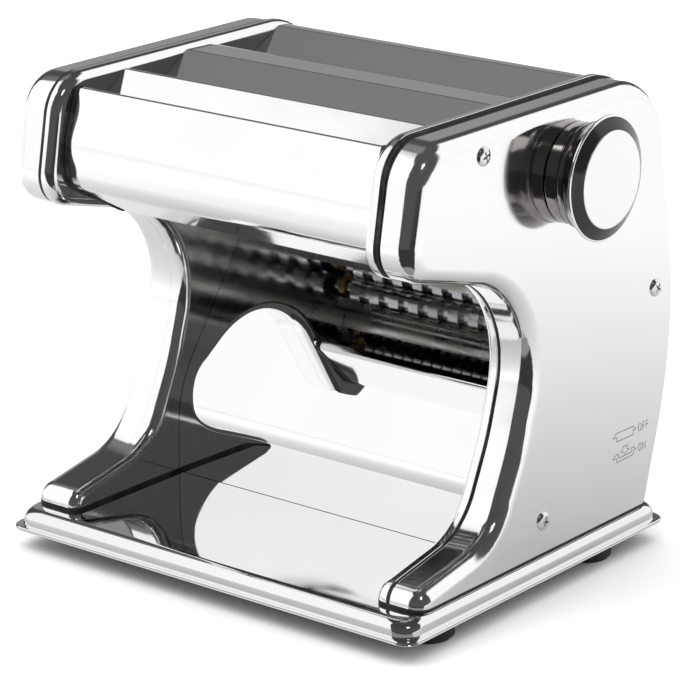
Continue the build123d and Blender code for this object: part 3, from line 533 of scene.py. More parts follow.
class Finishes:
    """Every finish of the machine, made once and shared by the assemblies."""

    def __init__(self) -> None:
        """Makes the finishes."""
        housing = PolishedSteel("housing_steel", shine=0.1, smudge=0.04, grain=Grain.UPRIGHT)
        self.housing = housing.make()
        self.panel = PolishedSteel("panel_steel", shine=0.08, smudge=0.04).make()
        self.mirror = PolishedSteel("mirror_plate", (0.92, 0.92, 0.925), 0.012, 0.012).make()
        self.pan = PolishedSteel("pan_steel", (0.86, 0.86, 0.86), 0.04, 0.05).make()
        self.roller = TurnedSteel("turned_steel").make()
        self.cut = TurnedSteel("cut_steel", (0.42, 0.42, 0.43), 0.34).make()
        self.zinc = ZincPlate("zinc_plate").make()
        self.screw = PolishedSteel("screw_steel", (0.80, 0.80, 0.81), 0.1, 0.06).make()
        self.rubber = Rubber("black_rubber").make()
        # Near-black rubber of the seam gaskets and panel trims, also used for the painted-shade
        # strips under the housings
        self.seam = Rubber("seam_rubber", (0.006, 0.006, 0.006)).make()
        self.plastic = MouldedPlastic("black_moulding").make()
        greys = (0.16, 0.165, 0.17), (0.204, 0.21025, 0.2165)
        self.grey = MouldedPlastic("grey_moulding", *greys, roughness=(0.425, 0.15)).make()
        self.nylon = Nylon("natural_nylon").make()
        self.bronze = Bronze("sintered_bronze").make()
        self.enamel = Enamel("motor_enamel").make()
        self.mark = EtchedMark("etched_grey").make()
        self.white_mark = EtchedMark("printed_white", (0.75, 0.75, 0.74)).make()


# ---- meshes -------------------------------------------------------------------------------
def dress(names: Iterable[str], material: bpy.types.Material) -> list[str]:
    """Gives CAD pieces their finish.

    Args:
        names: Node names.
        material: Finish to show.

    Returns:
        The same names.
    """
    dressed = list(names)
    for name in dressed:
        node = frame["nodes"][name]
        for slot in node.material_slots:
            slot.material = material
        smooth(node)
    return dressed


def face_outline(name: str, level: float) -> list[tuple[Vector, Vector]]:
    """Finds the outer outline of a CAD piece's flat face across X.

    Args:
        name: Name of the CAD node.
        level: X of the face, in metres.

    Returns:
        Points of the outline in order, each with its outward direction.
    """
    source = frame["nodes"][name]
    shape = bmesh.new()
    shape.from_mesh(source.data)
    shape.transform(source.matrix_world)
    bmesh.ops.remove_doubles(shape, verts=shape.verts, dist=WELD_DISTANCE)
    flat = {
        face
        for face in shape.faces
        if all(abs(corner.co.x - level) < FLAT_TOLERANCE for corner in face.verts)
    }
    after = {}
    for edge in shape.edges:
        if sum(face in flat for face in edge.link_faces) == 1:
            for vertex in edge.verts:
                after.setdefault(vertex, []).append(edge.other_vert(vertex))
    start = max(after, key=lambda vertex: vertex.co.z)
    loop = [start, after[start][0]]
    while loop[-1] is not start:
        loop.append(next(vertex for vertex in after[loop[-1]] if vertex is not loop[-2]))
    points = [vertex.co.copy() for vertex in loop[:-1]]
    shape.free()
    area = sum(a.y * b.z - b.y * a.z for a, b in zip(points, points[1:] + points[:1]))
    turned = 1 if area > 0 else -1
    outline = []
    for before, here, later in zip(points[-1:] + points[:-1], points, points[1:] + points[:1]):
        along = (later - before).normalized()
        outline.append((here, Vector((0.0, along.z, -along.y)) * turned))
    return outline


def soften(profile: Sequence[Spot], radius: float, steps: int = 4) -> list[Spot]:
    """Rounds the inner corners of an open profile.

    Args:
        profile: Corners in millimetres.
        radius: Length cut from both sides of each corner.
        steps: Points along each rounded corner.

    Returns:
        The rounded profile.
    """
    corners = [Vector(point) for point in profile]
    points = [tuple(corners[0])]
    for before, here, after in zip(corners, corners[1:], corners[2:]):
        reach = min(radius, (before - here).length * 0.45, (after - here).length * 0.45)
        first = here + (before - here).normalized() * reach
        last = here + (after - here).normalized() * reach
        for step in range(steps + 1):
            share = step / steps
            point = first * (1 - share) ** 2 + here * 2 * share * (1 - share) + last * share**2
            points.append(tuple(point))
    points.append(tuple(corners[-1]))
    return points


def skin(
    shape: bmesh.types.BMesh, rings: Sequence[Sequence[bmesh.types.BMVert]], is_ring: bool
) -> None:
    """Covers a row of rings with faces.

    Args:
        shape: Mesh to add to.
        rings: Rings of vertices in order. A ring of one vertex is a point.
        is_ring: True where the last ring joins the first one, False where the ends are closed.
    """
    pairs = list(zip(rings, rings[1:]))
    if is_ring:
        pairs.append((rings[-1], rings[0]))
    else:
        for end in (rings[0], rings[-1]):
            if len(end) > 1:
                shape.faces.new(end)
    for first, second in pairs:
        count = max(len(first), len(second))
        for number in range(count):
            after = (number + 1) % count
            around = [
                first[number % len(first)],
                first[after % len(first)],
                second[after % len(second)],
                second[number % len(second)],
            ]
            shape.faces.new(list(dict.fromkeys(around)))


def turn(
    shape: bmesh.types.BMesh,
    profile: Sequence[Spot],
    axis: Spot,
    is_ring: bool,
    side: int = 1,
    segments: int = 96,
) -> None:
    """Adds a body turned about an axis along X.

    Args:
        shape: Mesh to add to.
        profile: Pairs of X and radius, in millimetres.
        axis: Y and Z of the axis.
        is_ring: True where the last point joins the first one.
        side: 1 for the right side of the machine, -1 for its mirror on the left.
        segments: Faces round the axis.
    """
    rings = []
    for x, radius in profile:
        angles = [math.tau * number / segments for number in range(segments if radius > 0 else 1)]
        ring = []
        for angle in angles:
            y, z = axis[0] + radius * math.cos(angle), axis[1] + radius * math.sin(angle)
            ring.append(shape.verts.new(at(side * x, y, z)))
        rings.append(ring)
    skin(shape, rings, is_ring)


def stroke(
    shape: bmesh.types.BMesh,
    line: Sequence[Spot],
    width: float,
    levels: Spot,
    place: Callable[[float, float, float], Vector],
    is_closed: bool = False,
) -> None:
    """Adds a thin bar that follows a line on a flat face.

    Args:
        shape: Mesh to add to.
        line: Points in the plane of the face.
        width: Width of the bar.
        levels: Lower and upper level of the bar, across the plane.
        place: Turns two numbers in the plane and a level into a point of the scene.
        is_closed: True where the last point joins the first one.
    """
    points = [Vector(point) for point in line]
    rings = []
    for number, here in enumerate(points):
        before = points[number - 1] if is_closed or number > 0 else here
        is_last = number == len(points) - 1
        after = points[(number + 1) % len(points)] if is_closed or not is_last else here
        ways = [way.normalized() for way in (here - before, after - here) if way.length > 0]
        along = sum(ways, Vector((0.0, 0.0))).normalized()
        aside = Vector((-along.y, along.x)) * (width / 2 / max(0.5, along.dot(ways[0])))
        corners = [
            (here - aside, levels[0]),
            (here - aside, levels[1]),
            (here + aside, levels[1]),
            (here + aside, levels[0]),
        ]
        rings.append([shape.verts.new(place(point.x, point.y, level)) for point, level in corners])
    skin(shape, rings, is_closed)


def loose_object(name: str, shape: bmesh.types.BMesh) -> bpy.types.Object:
    """Turns a mesh into an object of the scene, with its faces turned outwards.

    Args:
        name: Name of the object and its mesh.
        shape: Its mesh, which is used up.

    Returns:
        The new object.
    """
    bmesh.ops.recalc_face_normals(shape, faces=shape.faces)
    mesh = bpy.data.meshes.new(name)
    shape.to_mesh(mesh)
    shape.free()
    thing = bpy.data.objects.new(name, mesh)
    bpy.context.scene.collection.objects.link(thing)
    return thing


def add_piece(
    name: str,
    shape: bmesh.types.BMesh,
    material: bpy.types.Material,
    body: str,
    stands_for: Sequence[str] = (),
) -> bpy.types.Object:
    """Turns a mesh into a piece of the machine.

    Args:
        name: Name of the piece.
        shape: Its mesh, which is used up.
        material: Finish to show.
        body: Moving or fixed body that carries it.
        stands_for: CAD nodes that it replaces.

    Returns:
        The new piece.
    """
    piece = loose_object(name, shape)
    piece.data.materials.append(material)
    smooth(piece)
    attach(piece, body)
    if stands_for:
        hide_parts(*stands_for)
    return piece


def smooth(piece: bpy.types.Object) -> None:
    """Shades a piece smoothly across its rounded edges and keeps its flats flat.

    Args:
        piece: Piece to shade.
    """
    mesh = piece.data
    for name in ("custom_normal", "sharp_edge"):
        if name in mesh.attributes:
            mesh.attributes.remove(mesh.attributes[name])
    mesh.shade_smooth()
    weld = piece.modifiers.new("weld", "WELD")
    weld.merge_threshold = WELD_DISTANCE
    split = piece.modifiers.new("split", "EDGE_SPLIT")
    split.split_angle = math.radians(ROUND_BEND)
    split.use_edge_sharp = False
    even = piece.modifiers.new("even", "WEIGHTED_NORMAL")
    even.mode = "FACE_AREA"
    even.weight = 100


# ---- studio -------------------------------------------------------------------------------
@dataclass(frozen=True)
class SoftBox:
    """Evenly lit patch of the studio wall, its place and size in degrees."""

    bearing: float
    height: float
    half_width: float
    half_height: float
    soft: float
    level: float = 1.0

    def mask(
        self, graph: ShaderGraph, bearing: bpy.types.NodeSocket, height: bpy.types.NodeSocket
    ) -> bpy.types.NodeSocket:
        """Share of the patch in each direction.

        Args:
            graph: World's graph.
            bearing: Socket of the direction's bearing.
            height: Socket of the direction's height.

        Returns:
            Socket that is 1 inside the patch.
        """
        turned = graph.calc("SUBTRACT", bearing, math.radians(self.bearing))
        aside = graph.calc("ABSOLUTE", graph.calc("WRAP", turned, -math.pi, math.pi))
        above = graph.calc("ABSOLUTE", graph.calc("SUBTRACT", height, math.radians(self.height)))
        soft = math.radians(self.soft)
        shares = []
        for distance, half in ((aside, self.half_width), (above, self.half_height)):
            edge = math.radians(half)
            shares.append(graph.fade(distance, edge + soft, edge - soft))
        return graph.calc("MULTIPLY", *shares)


@dataclass
class Studio:
    """Camera, floor, world and lamps."""

    azimuth: float = 38.38
    elevation: float = 17.75
    distance: float = 1639.17
    focal_pixels: float = 3345.37
    image_pixels: float = 680.0
    sensor: float = 36.0
    target: Place = (0.54, 0.0, 106.04)
    clip_range: Spot = (0.05, 60.0)
    floor_reach: float = 12.0
    floor_colour: Colour = (0.95, 0.95, 0.95)
    # The floor's colour for glossy rays is painted: a grey tone darker near the machine is painted
    # shade, and a dark sector is a painted reflection
    reflected_floor_shades: Spot = (0.47, 0.72)
    reflected_floor_shade_range: Spot = (0.15, 0.8)
    # Dark sector of the painted reflection: its near colour is painted shade by the machine, its
    # far colour a painted dark room
    dark_reflection_corner: Spot = (0.11, -0.10)
    dark_reflection_bearings: Spot = (-31.0, 78.0)
    dark_reflection_soft: float = 1.5
    dark_reflection_near: Spot = (0.02, 0.04)
    dark_reflection_step: Spot = (0.13, 0.15)
    dark_reflection_colours: tuple[Colour, Colour] = ((0.197, 0.19, 0.179), (0.026, 0.0252, 0.0245))
    room_colours: tuple[Colour, Colour] = ((0.08, 0.078, 0.075), (0.05, 0.05, 0.05))
    room_fade: float = 60.0
    sky_level: float = 1.9
    horizon_level: float = 0.25
    sky_fade: float = 65.0
    lamp_size: float = 1.2
    lamp_power: float = 7.0
    lamp_place: Place = (-0.7, -0.9, 1.6)
    boxes: tuple[SoftBox, ...] = (
        SoftBox(224.0, 13.0, 13.0, 13.0, 5.0, 0.28),
        SoftBox(-63.5, 22.0, 32.5, 33.0, 2.0, 1.08),
        SoftBox(-112.0, 58.0, 14.0, 14.0, 6.0, 0.2),
        SoftBox(62.0, 48.0, 8.0, 4.5, 2.0, 2.6),
        SoftBox(155.5, 22.0, 30.5, 27.0, 4.0, 1.03),
    )

    def place_camera(self) -> None:
        """Puts the camera at the viewing angle."""
        azimuth = math.radians(self.azimuth)
        elevation = math.radians(self.elevation)
        level = math.cos(elevation)
        back = Vector((math.sin(azimuth) * level, -math.cos(azimuth) * level, math.sin(elevation)))
        data = bpy.data.cameras.new("camera")
        data.sensor_width = self.sensor
        data.lens = self.focal_pixels / self.image_pixels * self.sensor
        data.clip_start, data.clip_end = self.clip_range
        camera = bpy.data.objects.new("camera", data)
        camera.location = at(*self.target) + back * self.distance * MILLIMETRE
        camera.rotation_mode = "QUATERNION"
        camera.rotation_quaternion = (-back).to_track_quat("-Z", "Y")
        bpy.context.scene.collection.objects.link(camera)
        bpy.context.scene.camera = camera

    def lay_floor(self) -> None:
        """Lays a white floor that keeps the shadow. In reflections its colour is a painted
        reflection: a dark sector, with painted shade near the machine.
        """
        mesh = bpy.data.meshes.new("floor")
        signs = ((-1, -1), (1, -1), (1, 1), (-1, 1))
        corners = [(x * self.floor_reach, y * self.floor_reach, 0.0) for x, y in signs]
        mesh.from_pydata(corners, [], [(0, 1, 2, 3)])
        floor = bpy.data.objects.new("floor", mesh)
        bpy.context.scene.collection.objects.link(floor)
        material = bpy.data.materials.new("floor_white")
        material.use_nodes = True
        graph = ShaderGraph(material.node_tree)
        position = graph.add("NewGeometry").outputs["Position"]
        place = graph.add("SeparateXYZ")
        graph.feed(place.inputs[0], position)
        # Painted reflection: a dark sector fanning out from a corner, seen only by glossy rays
        aside = graph.calc("SUBTRACT", place.outputs["X"], self.dark_reflection_corner[0])
        ahead = graph.calc("SUBTRACT", self.dark_reflection_corner[1], place.outputs["Y"])
        bearing = graph.calc("ARCTAN2", aside, ahead)
        squares = [graph.calc("POWER", part, 2.0) for part in (aside, ahead)]
        away = graph.calc("SQRT", graph.calc("ADD", *squares))
        first, last = (math.radians(angle) for angle in self.dark_reflection_bearings)
        soft = math.radians(self.dark_reflection_soft)
        after_first = graph.fade(bearing, first - soft, first + soft)
        before_last = graph.fade(bearing, last + soft, last - soft)
        inside = graph.calc("MULTIPLY", after_first, before_last)
        inside = graph.calc("MULTIPLY", inside, graph.fade(away, *self.dark_reflection_near))
        dark_reflection_tone = graph.blend(graph.fade(away, *self.dark_reflection_step), *self.dark_reflection_colours)
        distance = graph.add("VectorMath", operation="LENGTH")
        graph.feed(distance.inputs[0], position)
        # Painted shade: the floor seen in reflections is darker near the machine
        around = graph.fade(distance.outputs["Value"], *self.reflected_floor_shade_range, *self.reflected_floor_shades)
        painted_reflection = graph.blend(inside, around, dark_reflection_tone)
        glossy = graph.add("LightPath").outputs["Is Glossy Ray"]
        matt = graph.add("BsdfDiffuse")
        graph.feed(matt.inputs["Color"], graph.blend(glossy, self.floor_colour, painted_reflection))
        graph.feed(graph.add("OutputMaterial").inputs[0], matt.outputs[0])
        mesh.materials.append(material)

    def light_world(self) -> None:
        """Lights the object evenly and gives the metal a studio to reflect."""
        world = bpy.data.worlds.new("studio")
        world.use_nodes = True
        bpy.context.scene.world = world
        graph = ShaderGraph(world.node_tree)
        way = graph.add("SeparateXYZ")
        graph.feed(way.inputs[0], graph.add("TexCoord").outputs["Generated"])
        height = graph.calc("ARCSINE", way.outputs["Z"])
        ahead = graph.calc("MULTIPLY", way.outputs["Y"], -1.0)
        bearing = graph.calc("ARCTAN2", way.outputs["X"], ahead)
        upward = graph.fade(height, 0.0, math.radians(self.room_fade))
        room = graph.blend(upward, *self.room_colours)
        for box in self.boxes:
            room = graph.blend(box.mask(graph, bearing, height), room, (box.level,) * 3)
        path = graph.add("LightPath")
        top = math.radians(self.sky_fade)
        even = graph.fade(height, 0.0, top, self.horizon_level, self.sky_level)
        light = graph.blend(path.outputs["Is Glossy Ray"], even, room)
        light = graph.blend(path.outputs["Is Camera Ray"], light, (1.0, 1.0, 1.0))
        background = graph.add("Background")
        graph.feed(background.inputs["Color"], light)
        graph.feed(graph.add("OutputWorld").inputs[0], background.outputs[0])

    def hang_lamp(self) -> None:
        """Hangs one large soft lamp over the left front."""
        data = bpy.data.lights.new("soft_lamp", "AREA")
        data.shape = "DISK"
        data.size = self.lamp_size
        data.energy = self.lamp_power
        lamp = bpy.data.objects.new("soft_lamp", data)
        lamp.location = self.lamp_place
        lamp.rotation_mode = "QUATERNION"
        lamp.rotation_quaternion = lamp.location.to_track_quat("Z", "Y")
        lamp.visible_glossy = False
        bpy.context.scene.collection.objects.link(lamp)

    def build(self) -> None:
        """Sets up the whole studio."""
        self.place_camera()
        self.lay_floor()
        self.light_world()
        self.hang_lamp()
        bpy.context.scene.view_settings.view_transform = "Standard"
        log.info("studio is set")


# ---- the machine --------------------------------------------------------------------------
class Assembly(ABC):
    """Pieces of the machine that are made and dressed together."""

    @abstractmethod
    def build(self, finishes: Finishes) -> list[str]:
        """Makes and dresses the pieces.

        Args:
            finishes: The machine's finishes.

        Returns:
            Names of the pieces.
        """


@dataclass
class SideHousings(Assembly):
    """Two pressed housings with rolled rims at the seam, and a black strip under them that is
    painted shade for the shadow gap above the pan.
    """

    seam_inner: float = 100.2
    seam_outer: float = 102.6
    rim_radius: float = 0.38
    rim_facets: int = 10
    band_thickness: float = 0.55
    band_edge: float = 100.1
    band_sink: float = 0.04
    band_lap: float = 0.1
    inner_face: float = 93.55
    outer_face: float = 120.8
    front: float = -92.0
    rear: float = 96.5
    inner_round: float = 5.0
    outer_round: float = 8.0
    # Black strip under each housing: painted shade standing for the shadow gap between housing and
    # pan
    shadow_strip_levels: Spot = (20.55, 22.2)
    shadow_strip_width: float = 0.6
    shadow_strip_inset: float = 0.16
    corner_steps: int = 8

    def build(self, finishes: Finishes) -> list[str]:
        """Dresses the shells and adds the rims and strips."""
        shells = ["left_inner_shell", "right_inner_shell", "left_outer_cover", "right_outer_cover"]
        names = dress(shells, finishes.housing)
        names += dress(["left_seam_gasket", "right_seam_gasket"], finishes.seam)
        names += dress(["cover_posts"], finishes.zinc)
        for node in ("right_inner_shell", "right_outer_cover"):
            names.append(self.roll_rim(node, finishes.housing).name)
        names.append(self.cover_seam(finishes.housing).name)
        # Black strips under the housings are painted shade for the shadow gap above the pan
        for side, name in ((-1, "left_foot_strip"), (1, "right_foot_strip")):
            names.append(self.lay_shadow_strip(side, name, finishes.seam).name)
        return names

    def cover_seam(self, finish: bpy.types.Material) -> bpy.types.Object:
        """Fits the band that closes the left housing's seam.

        Args:
            finish: Material of the band.

        Returns:
            The band.
        """
        line = []
        for place, outward in face_outline("left_outer_cover", at(-self.seam_outer, 0, 0).x):
            middle = place - outward * (self.band_thickness / 2 + self.band_sink) * MILLIMETRE
            line.append(((middle.y - MIDDLE_Y) / MILLIMETRE, middle.z / MILLIMETRE))
        end = self.shadow_strip_levels[1] + self.band_lap
        low = [number for number, (_, z) in enumerate(line) if z < end]
        first, last = line[low[-1]], line[low[0]]
        line = [(first[0], end), *line[low[-1] + 1 :], *line[: low[0]], (last[0], end)]
        shape = bmesh.new()
        levels = (-self.seam_outer - self.band_lap, -self.band_edge)
        stroke(shape, line, self.band_thickness, levels, lambda y, z, x: at(x, y, z))
        return add_piece("left_seam_band", shape, finish, "housing")

    def roll_rim(self, node: str, finish: bpy.types.Material) -> bpy.types.Object:
        """Rolls the sheet's edge round a shell's opening.

        Args:
            node: Name of the shell.
            finish: Material of the rim.

        Returns:
            The rim.
        """
        level = at(self.seam_inner if "inner" in node else self.seam_outer, 0, 0).x
        radius = self.rim_radius * MILLIMETRE
        shape = bmesh.new()
        rings = []
        for place, outward in face_outline(node, level):
            centre = place - outward * radius
            ring = []
            for number in range(self.rim_facets):
                angle = math.tau * number / self.rim_facets
                way = outward * math.cos(angle) + Vector((math.sin(angle), 0.0, 0.0))
                ring.append(shape.verts.new(centre + way * radius))
            rings.append(ring)
        skin(shape, rings, True)
        return add_piece(f"{node}_rim", shape, finish, "housing")

    def lay_shadow_strip(self, side: int, name: str, finish: bpy.types.Material) -> bpy.types.Object:
        """Lays the black strip between a housing and the pan, painted shade for the dark shadow
        gap there.

        Args:
            side: 1 for the right housing, -1 for the left one.
            name: Name of the strip.
            finish: Material of the strip.

        Returns:
            The strip.
        """
        corners = [
            (self.inner_face, self.front, self.inner_round, 180.0),
            (self.outer_face, self.front, self.outer_round, 270.0),
            (self.outer_face, self.rear, self.outer_round, 0.0),
            (self.inner_face, self.rear, self.inner_round, 90.0),
        ]
        line = []
        for x, y, radius, start in corners:
            centre_x = x + radius * (1 if x == self.inner_face else -1)
            centre_y = y + radius * (1 if y == self.front else -1)
            reach = radius - self.shadow_strip_inset
            for step in range(self.corner_steps + 1):
                angle = math.radians(start + 90.0 * step / self.corner_steps)
                along, across = reach * math.cos(angle), reach * math.sin(angle)
                line.append((centre_x + along, centre_y + across))
        width, levels = self.shadow_strip_width, self.shadow_strip_levels
        shape = bmesh.new()
        stroke(shape, line, width, levels, lambda x, y, z: at(side * x, y, z), True)
        return add_piece(name, shape, finish, "housing")


@dataclass
class CoverScrews(Assembly):
    """Pan-head screws with a cross recess, three on each outer cover."""

    places: tuple[Spot, ...] = ((-48.5, 228.2), (96.0, 132.8), (3.5, 38.6))
    turns: tuple[float, ...] = (18.0, 52.0, 71.0)
    face: float = 120.8
    head_radius: float = 4.6
    head_height: float = 1.7
    shank_radius: float = 2.0
    depth: float = 9.0
    arm_half: float = 0.55
    arm_reach: float = 2.7
    recess_depth: float = 1.3
    taper: float = 0.62

    def build(self, finishes: Finishes) -> list[str]:
        """Makes all six screws as one piece."""
        heads = bmesh.new()
        recesses = bmesh.new()
        for side in (-1, 1):
            for place, angle in zip(self.places, self.turns):
                turn(heads, self.profile(), place, False, side, 48)
                self.cut_recess(recesses, place, math.radians(angle), side)
        tool = loose_object("recess_tool", recesses)
        blank = loose_object("screw_blank", heads)
        cut = blank.modifiers.new("recess", "BOOLEAN")
        cut.operation = "DIFFERENCE"
        cut.solver = "EXACT"
        cut.object = tool
        ready = blank.evaluated_get(bpy.context.evaluated_depsgraph_get())
        shape = bmesh.new()
        shape.from_mesh(ready.to_mesh())
        ready.to_mesh_clear()
        bpy.data.objects.remove(blank)
        bpy.data.objects.remove(tool)
        replaced = ["cover_screws"]
        screws = add_piece(
            "cross_head_screws", shape, finishes.screw, "housing", replaced
        )
        return [screws.name]

    def profile(self) -> list[Spot]:
        """Profile of a screw from the tip of its shank to the top of its head."""
        end = self.face + self.head_height
        shank = [
            (self.face - self.depth, 0.0),
            (self.face - self.depth, self.shank_radius - 0.4),
            (self.face - self.depth + 0.4, self.shank_radius),
            (self.face, self.shank_radius),
        ]
        head = [
            (self.face, self.head_radius - 0.1),
            (self.face + 0.45, self.head_radius),
            (end - 0.4, self.head_radius - 0.9),
            (end - 0.08, self.head_radius - 2.2),
            (end, 0.0),
        ]
        return shank + soften(head, 0.8)

    def cut_recess(self, shape: bmesh.types.BMesh, place: Spot, angle: float, side: int) -> None:
        """Adds the tapered cross that is cut from a head.

        Args:
            shape: Mesh to add to.
            place: Y and Z of the screw.
            angle: Turn of the cross, in radians.
            side: 1 for the right cover, -1 for the left one.
        """
        half, reach = self.arm_half, self.arm_reach
        quarter = [Vector((reach, -half)), Vector((reach, half)), Vector((half, half))]
        top = self.face + self.head_height + 0.3
        bottom = self.face + self.head_height - self.recess_depth
        rings = []
        for level, share in ((top, 1.0), (bottom, self.taper)):
            ring = []
            for number in range(4):
                for corner in quarter:
                    way = angle + number * math.pi / 2
                    y = (corner.x * math.cos(way) - corner.y * math.sin(way)) * share
                    z = (corner.x * math.sin(way) + corner.y * math.cos(way)) * share
                    ring.append(shape.verts.new(at(side * level, place[0] + y, place[1] + z)))
            rings.append(ring)
        skin(shape, rings, False)


@dataclass
class SwitchDiagram(Assembly):
    """Etched lines on the right cover that show the push button raised and pressed."""

    face: float = 120.8
    proud: float = 0.04
    line_width: float = 0.42
    raised: tuple[Spot, ...] = (
        *((62.1, 63.6), (64.6, 65.7), (79.6, 65.6), (82.3, 63.6)),
        *((79.7, 63.6), (79.8, 61.2), (65.4, 61.3), (65.5, 63.6)),
    )
    pressed: tuple[Spot, ...] = (
        *((62.6, 52.7), (64.1, 54.2), (66.9, 54.6), (67.6, 52.3), (78.5, 52.5), (78.4, 54.4)),
        *((80.1, 54.9), (82.8, 53.0), (80.2, 53.0), (80.3, 50.7), (65.9, 50.4), (65.8, 52.6)),
    )
    arrow: tuple[Spot, ...] = (
        *((68.9, 55.2), (73.0, 53.3), (77.0, 55.1), (74.9, 55.1)),
        *((74.9, 57.2), (71.0, 57.2), (71.0, 55.2)),
    )
    off_place: Place = (84.3, 61.5, 3.9)
    on_place: Place = (84.8, 51.1, 3.9)
    letter_gap: float = 0.32
    round_steps: int = 20

    def build(self, finishes: Finishes) -> list[str]:
        """Draws the diagram and its two words."""
        shape = bmesh.new()
        for line in (self.raised, self.pressed, self.arrow):
            self.draw(shape, line, True)
        self.write(shape, "OFF", self.off_place)
        self.write(shape, "ON", self.on_place)
        return [add_piece("switch_diagram", shape, finishes.mark, "housing").name]

    def draw(self, shape: bmesh.types.BMesh, line: Sequence[Spot], is_closed: bool) -> None:
        """Adds one line of the diagram."""
        levels = (self.face - self.proud, self.face + self.proud)
        stroke(shape, line, self.line_width, levels, lambda y, z, x: at(x, y, z), is_closed)

    def write(self, shape: bmesh.types.BMesh, word: str, place: Place) -> None:
        """Adds a word in single-line letters.

        Args:
            shape: Mesh to add to.
            word: Word made of the letters O, F and N.
            place: Y and Z of its lower corner, and the height of its letters.
        """
        y, z, size = place
        angles = [math.tau * number / self.round_steps for number in range(self.round_steps)]
        round_letter = [
            (0.33 + 0.33 * math.cos(angle), 0.5 + 0.5 * math.sin(angle)) for angle in angles
        ]
        letters = {
            "O": (0.66, [round_letter]),
            "F": (0.46, [[(0.0, 0.0), (0.0, 1.0), (0.46, 1.0)], [(0.0, 0.52), (0.40, 0.52)]]),
            "N": (0.62, [[(0.0, 0.0), (0.0, 1.0), (0.62, 0.0), (0.62, 1.0)]]),
        }
        for letter in word:
            width, lines = letters[letter]
            for line in lines:
                placed = [(y + a * size, z + b * size) for a, b in line]
                self.draw(shape, placed, letter == "O")
            y += (width + self.letter_gap) * size


@dataclass
class ThicknessKnob(Assembly):
    """Flared chrome knob with a grooved waist, a black bevel and a satin disc."""

    axis: Spot = (22.8, 206.1)
    bore: float = 5.1
    body: tuple[Spot, ...] = (
        (121.2, 24.1),
        (127.4, 24.5),
        (128.2, 23.4),
        (129.0, 25.3),
        (131.4, 25.8),
        (131.9, 25.1),
        (132.6, 25.9),
        (135.6, 27.9),
        (138.3, 29.6),
    )
    ring: tuple[Spot, ...] = ((138.2, 29.5), (138.5, 29.9), (139.2, 29.9), (139.5, 29.45))
    bevel: tuple[Spot, ...] = ((139.2, 29.6), (142.1, 23.9), (142.35, 23.3))
    disc: tuple[Spot, ...] = (
        *((142.0, 23.2), (142.45, 23.2), (142.7, 22.8), (142.82, 14.0), (142.9, 0.0)),
    )

    def build(self, finishes: Finishes) -> list[str]:
        """Makes the knob's pieces and dresses the parts inside it."""
        chrome = KnobChrome("knob_chrome").make()
        gloss = GlossBlack("gloss_black").make()
        satin = SpunDisc("spun_disc", tuple(at(self.disc[-1][0], *self.axis))).make()
        pieces = [
            self.make_ring("knob_body", self.body, 0.55, chrome, "knob_smoke", ["knob_skirt"]),
            self.make_ring("knob_bright_ring", self.ring, 0.12, finishes.panel, "knob_smoke", []),
            self.make_ring("knob_bevel", self.bevel, 0.3, gloss, "knob_black", ["knob_rim"]),
            self.make_disc(satin),
        ]
        names = [piece.name for piece in pieces]
        names += dress(["knob_shaft"], finishes.roller)
        return names + dress(["knob_bush"], finishes.bronze)

    def make_ring(
        self,
        name: str,
        outside: Sequence[Spot],
        rounding: float,
        finish: bpy.types.Material,
        slot: str,
        stands_for: Sequence[str],
    ) -> bpy.types.Object:
        """Turns a ring with a round bore.

        Args:
            name: Name of the piece.
            outside: Profile of its outer side.
            rounding: Size of the rounded corners.
            finish: Material of the piece.
            slot: Name of a material slot; not used.
            stands_for: CAD nodes that it replaces.

        Returns:
            The ring.
        """
        profile = [(outside[0][0], self.bore), *outside, (outside[-1][0], self.bore)]
        shape = bmesh.new()
        turn(shape, soften(profile, rounding), self.axis, True, segments=128)
        return add_piece(name, shape, finish, "knob", stands_for)

    def make_disc(self, finish: bpy.types.Material) -> bpy.types.Object:
        """Turns the slightly domed disc on the knob's end."""
        shape = bmesh.new()
        profile = [(self.disc[0][0], 0.0), *self.disc]
        turn(shape, soften(profile, 0.15), self.axis, False, segments=128)
        return add_piece("knob_disc", shape, finish, "knob", ["knob_cap"])


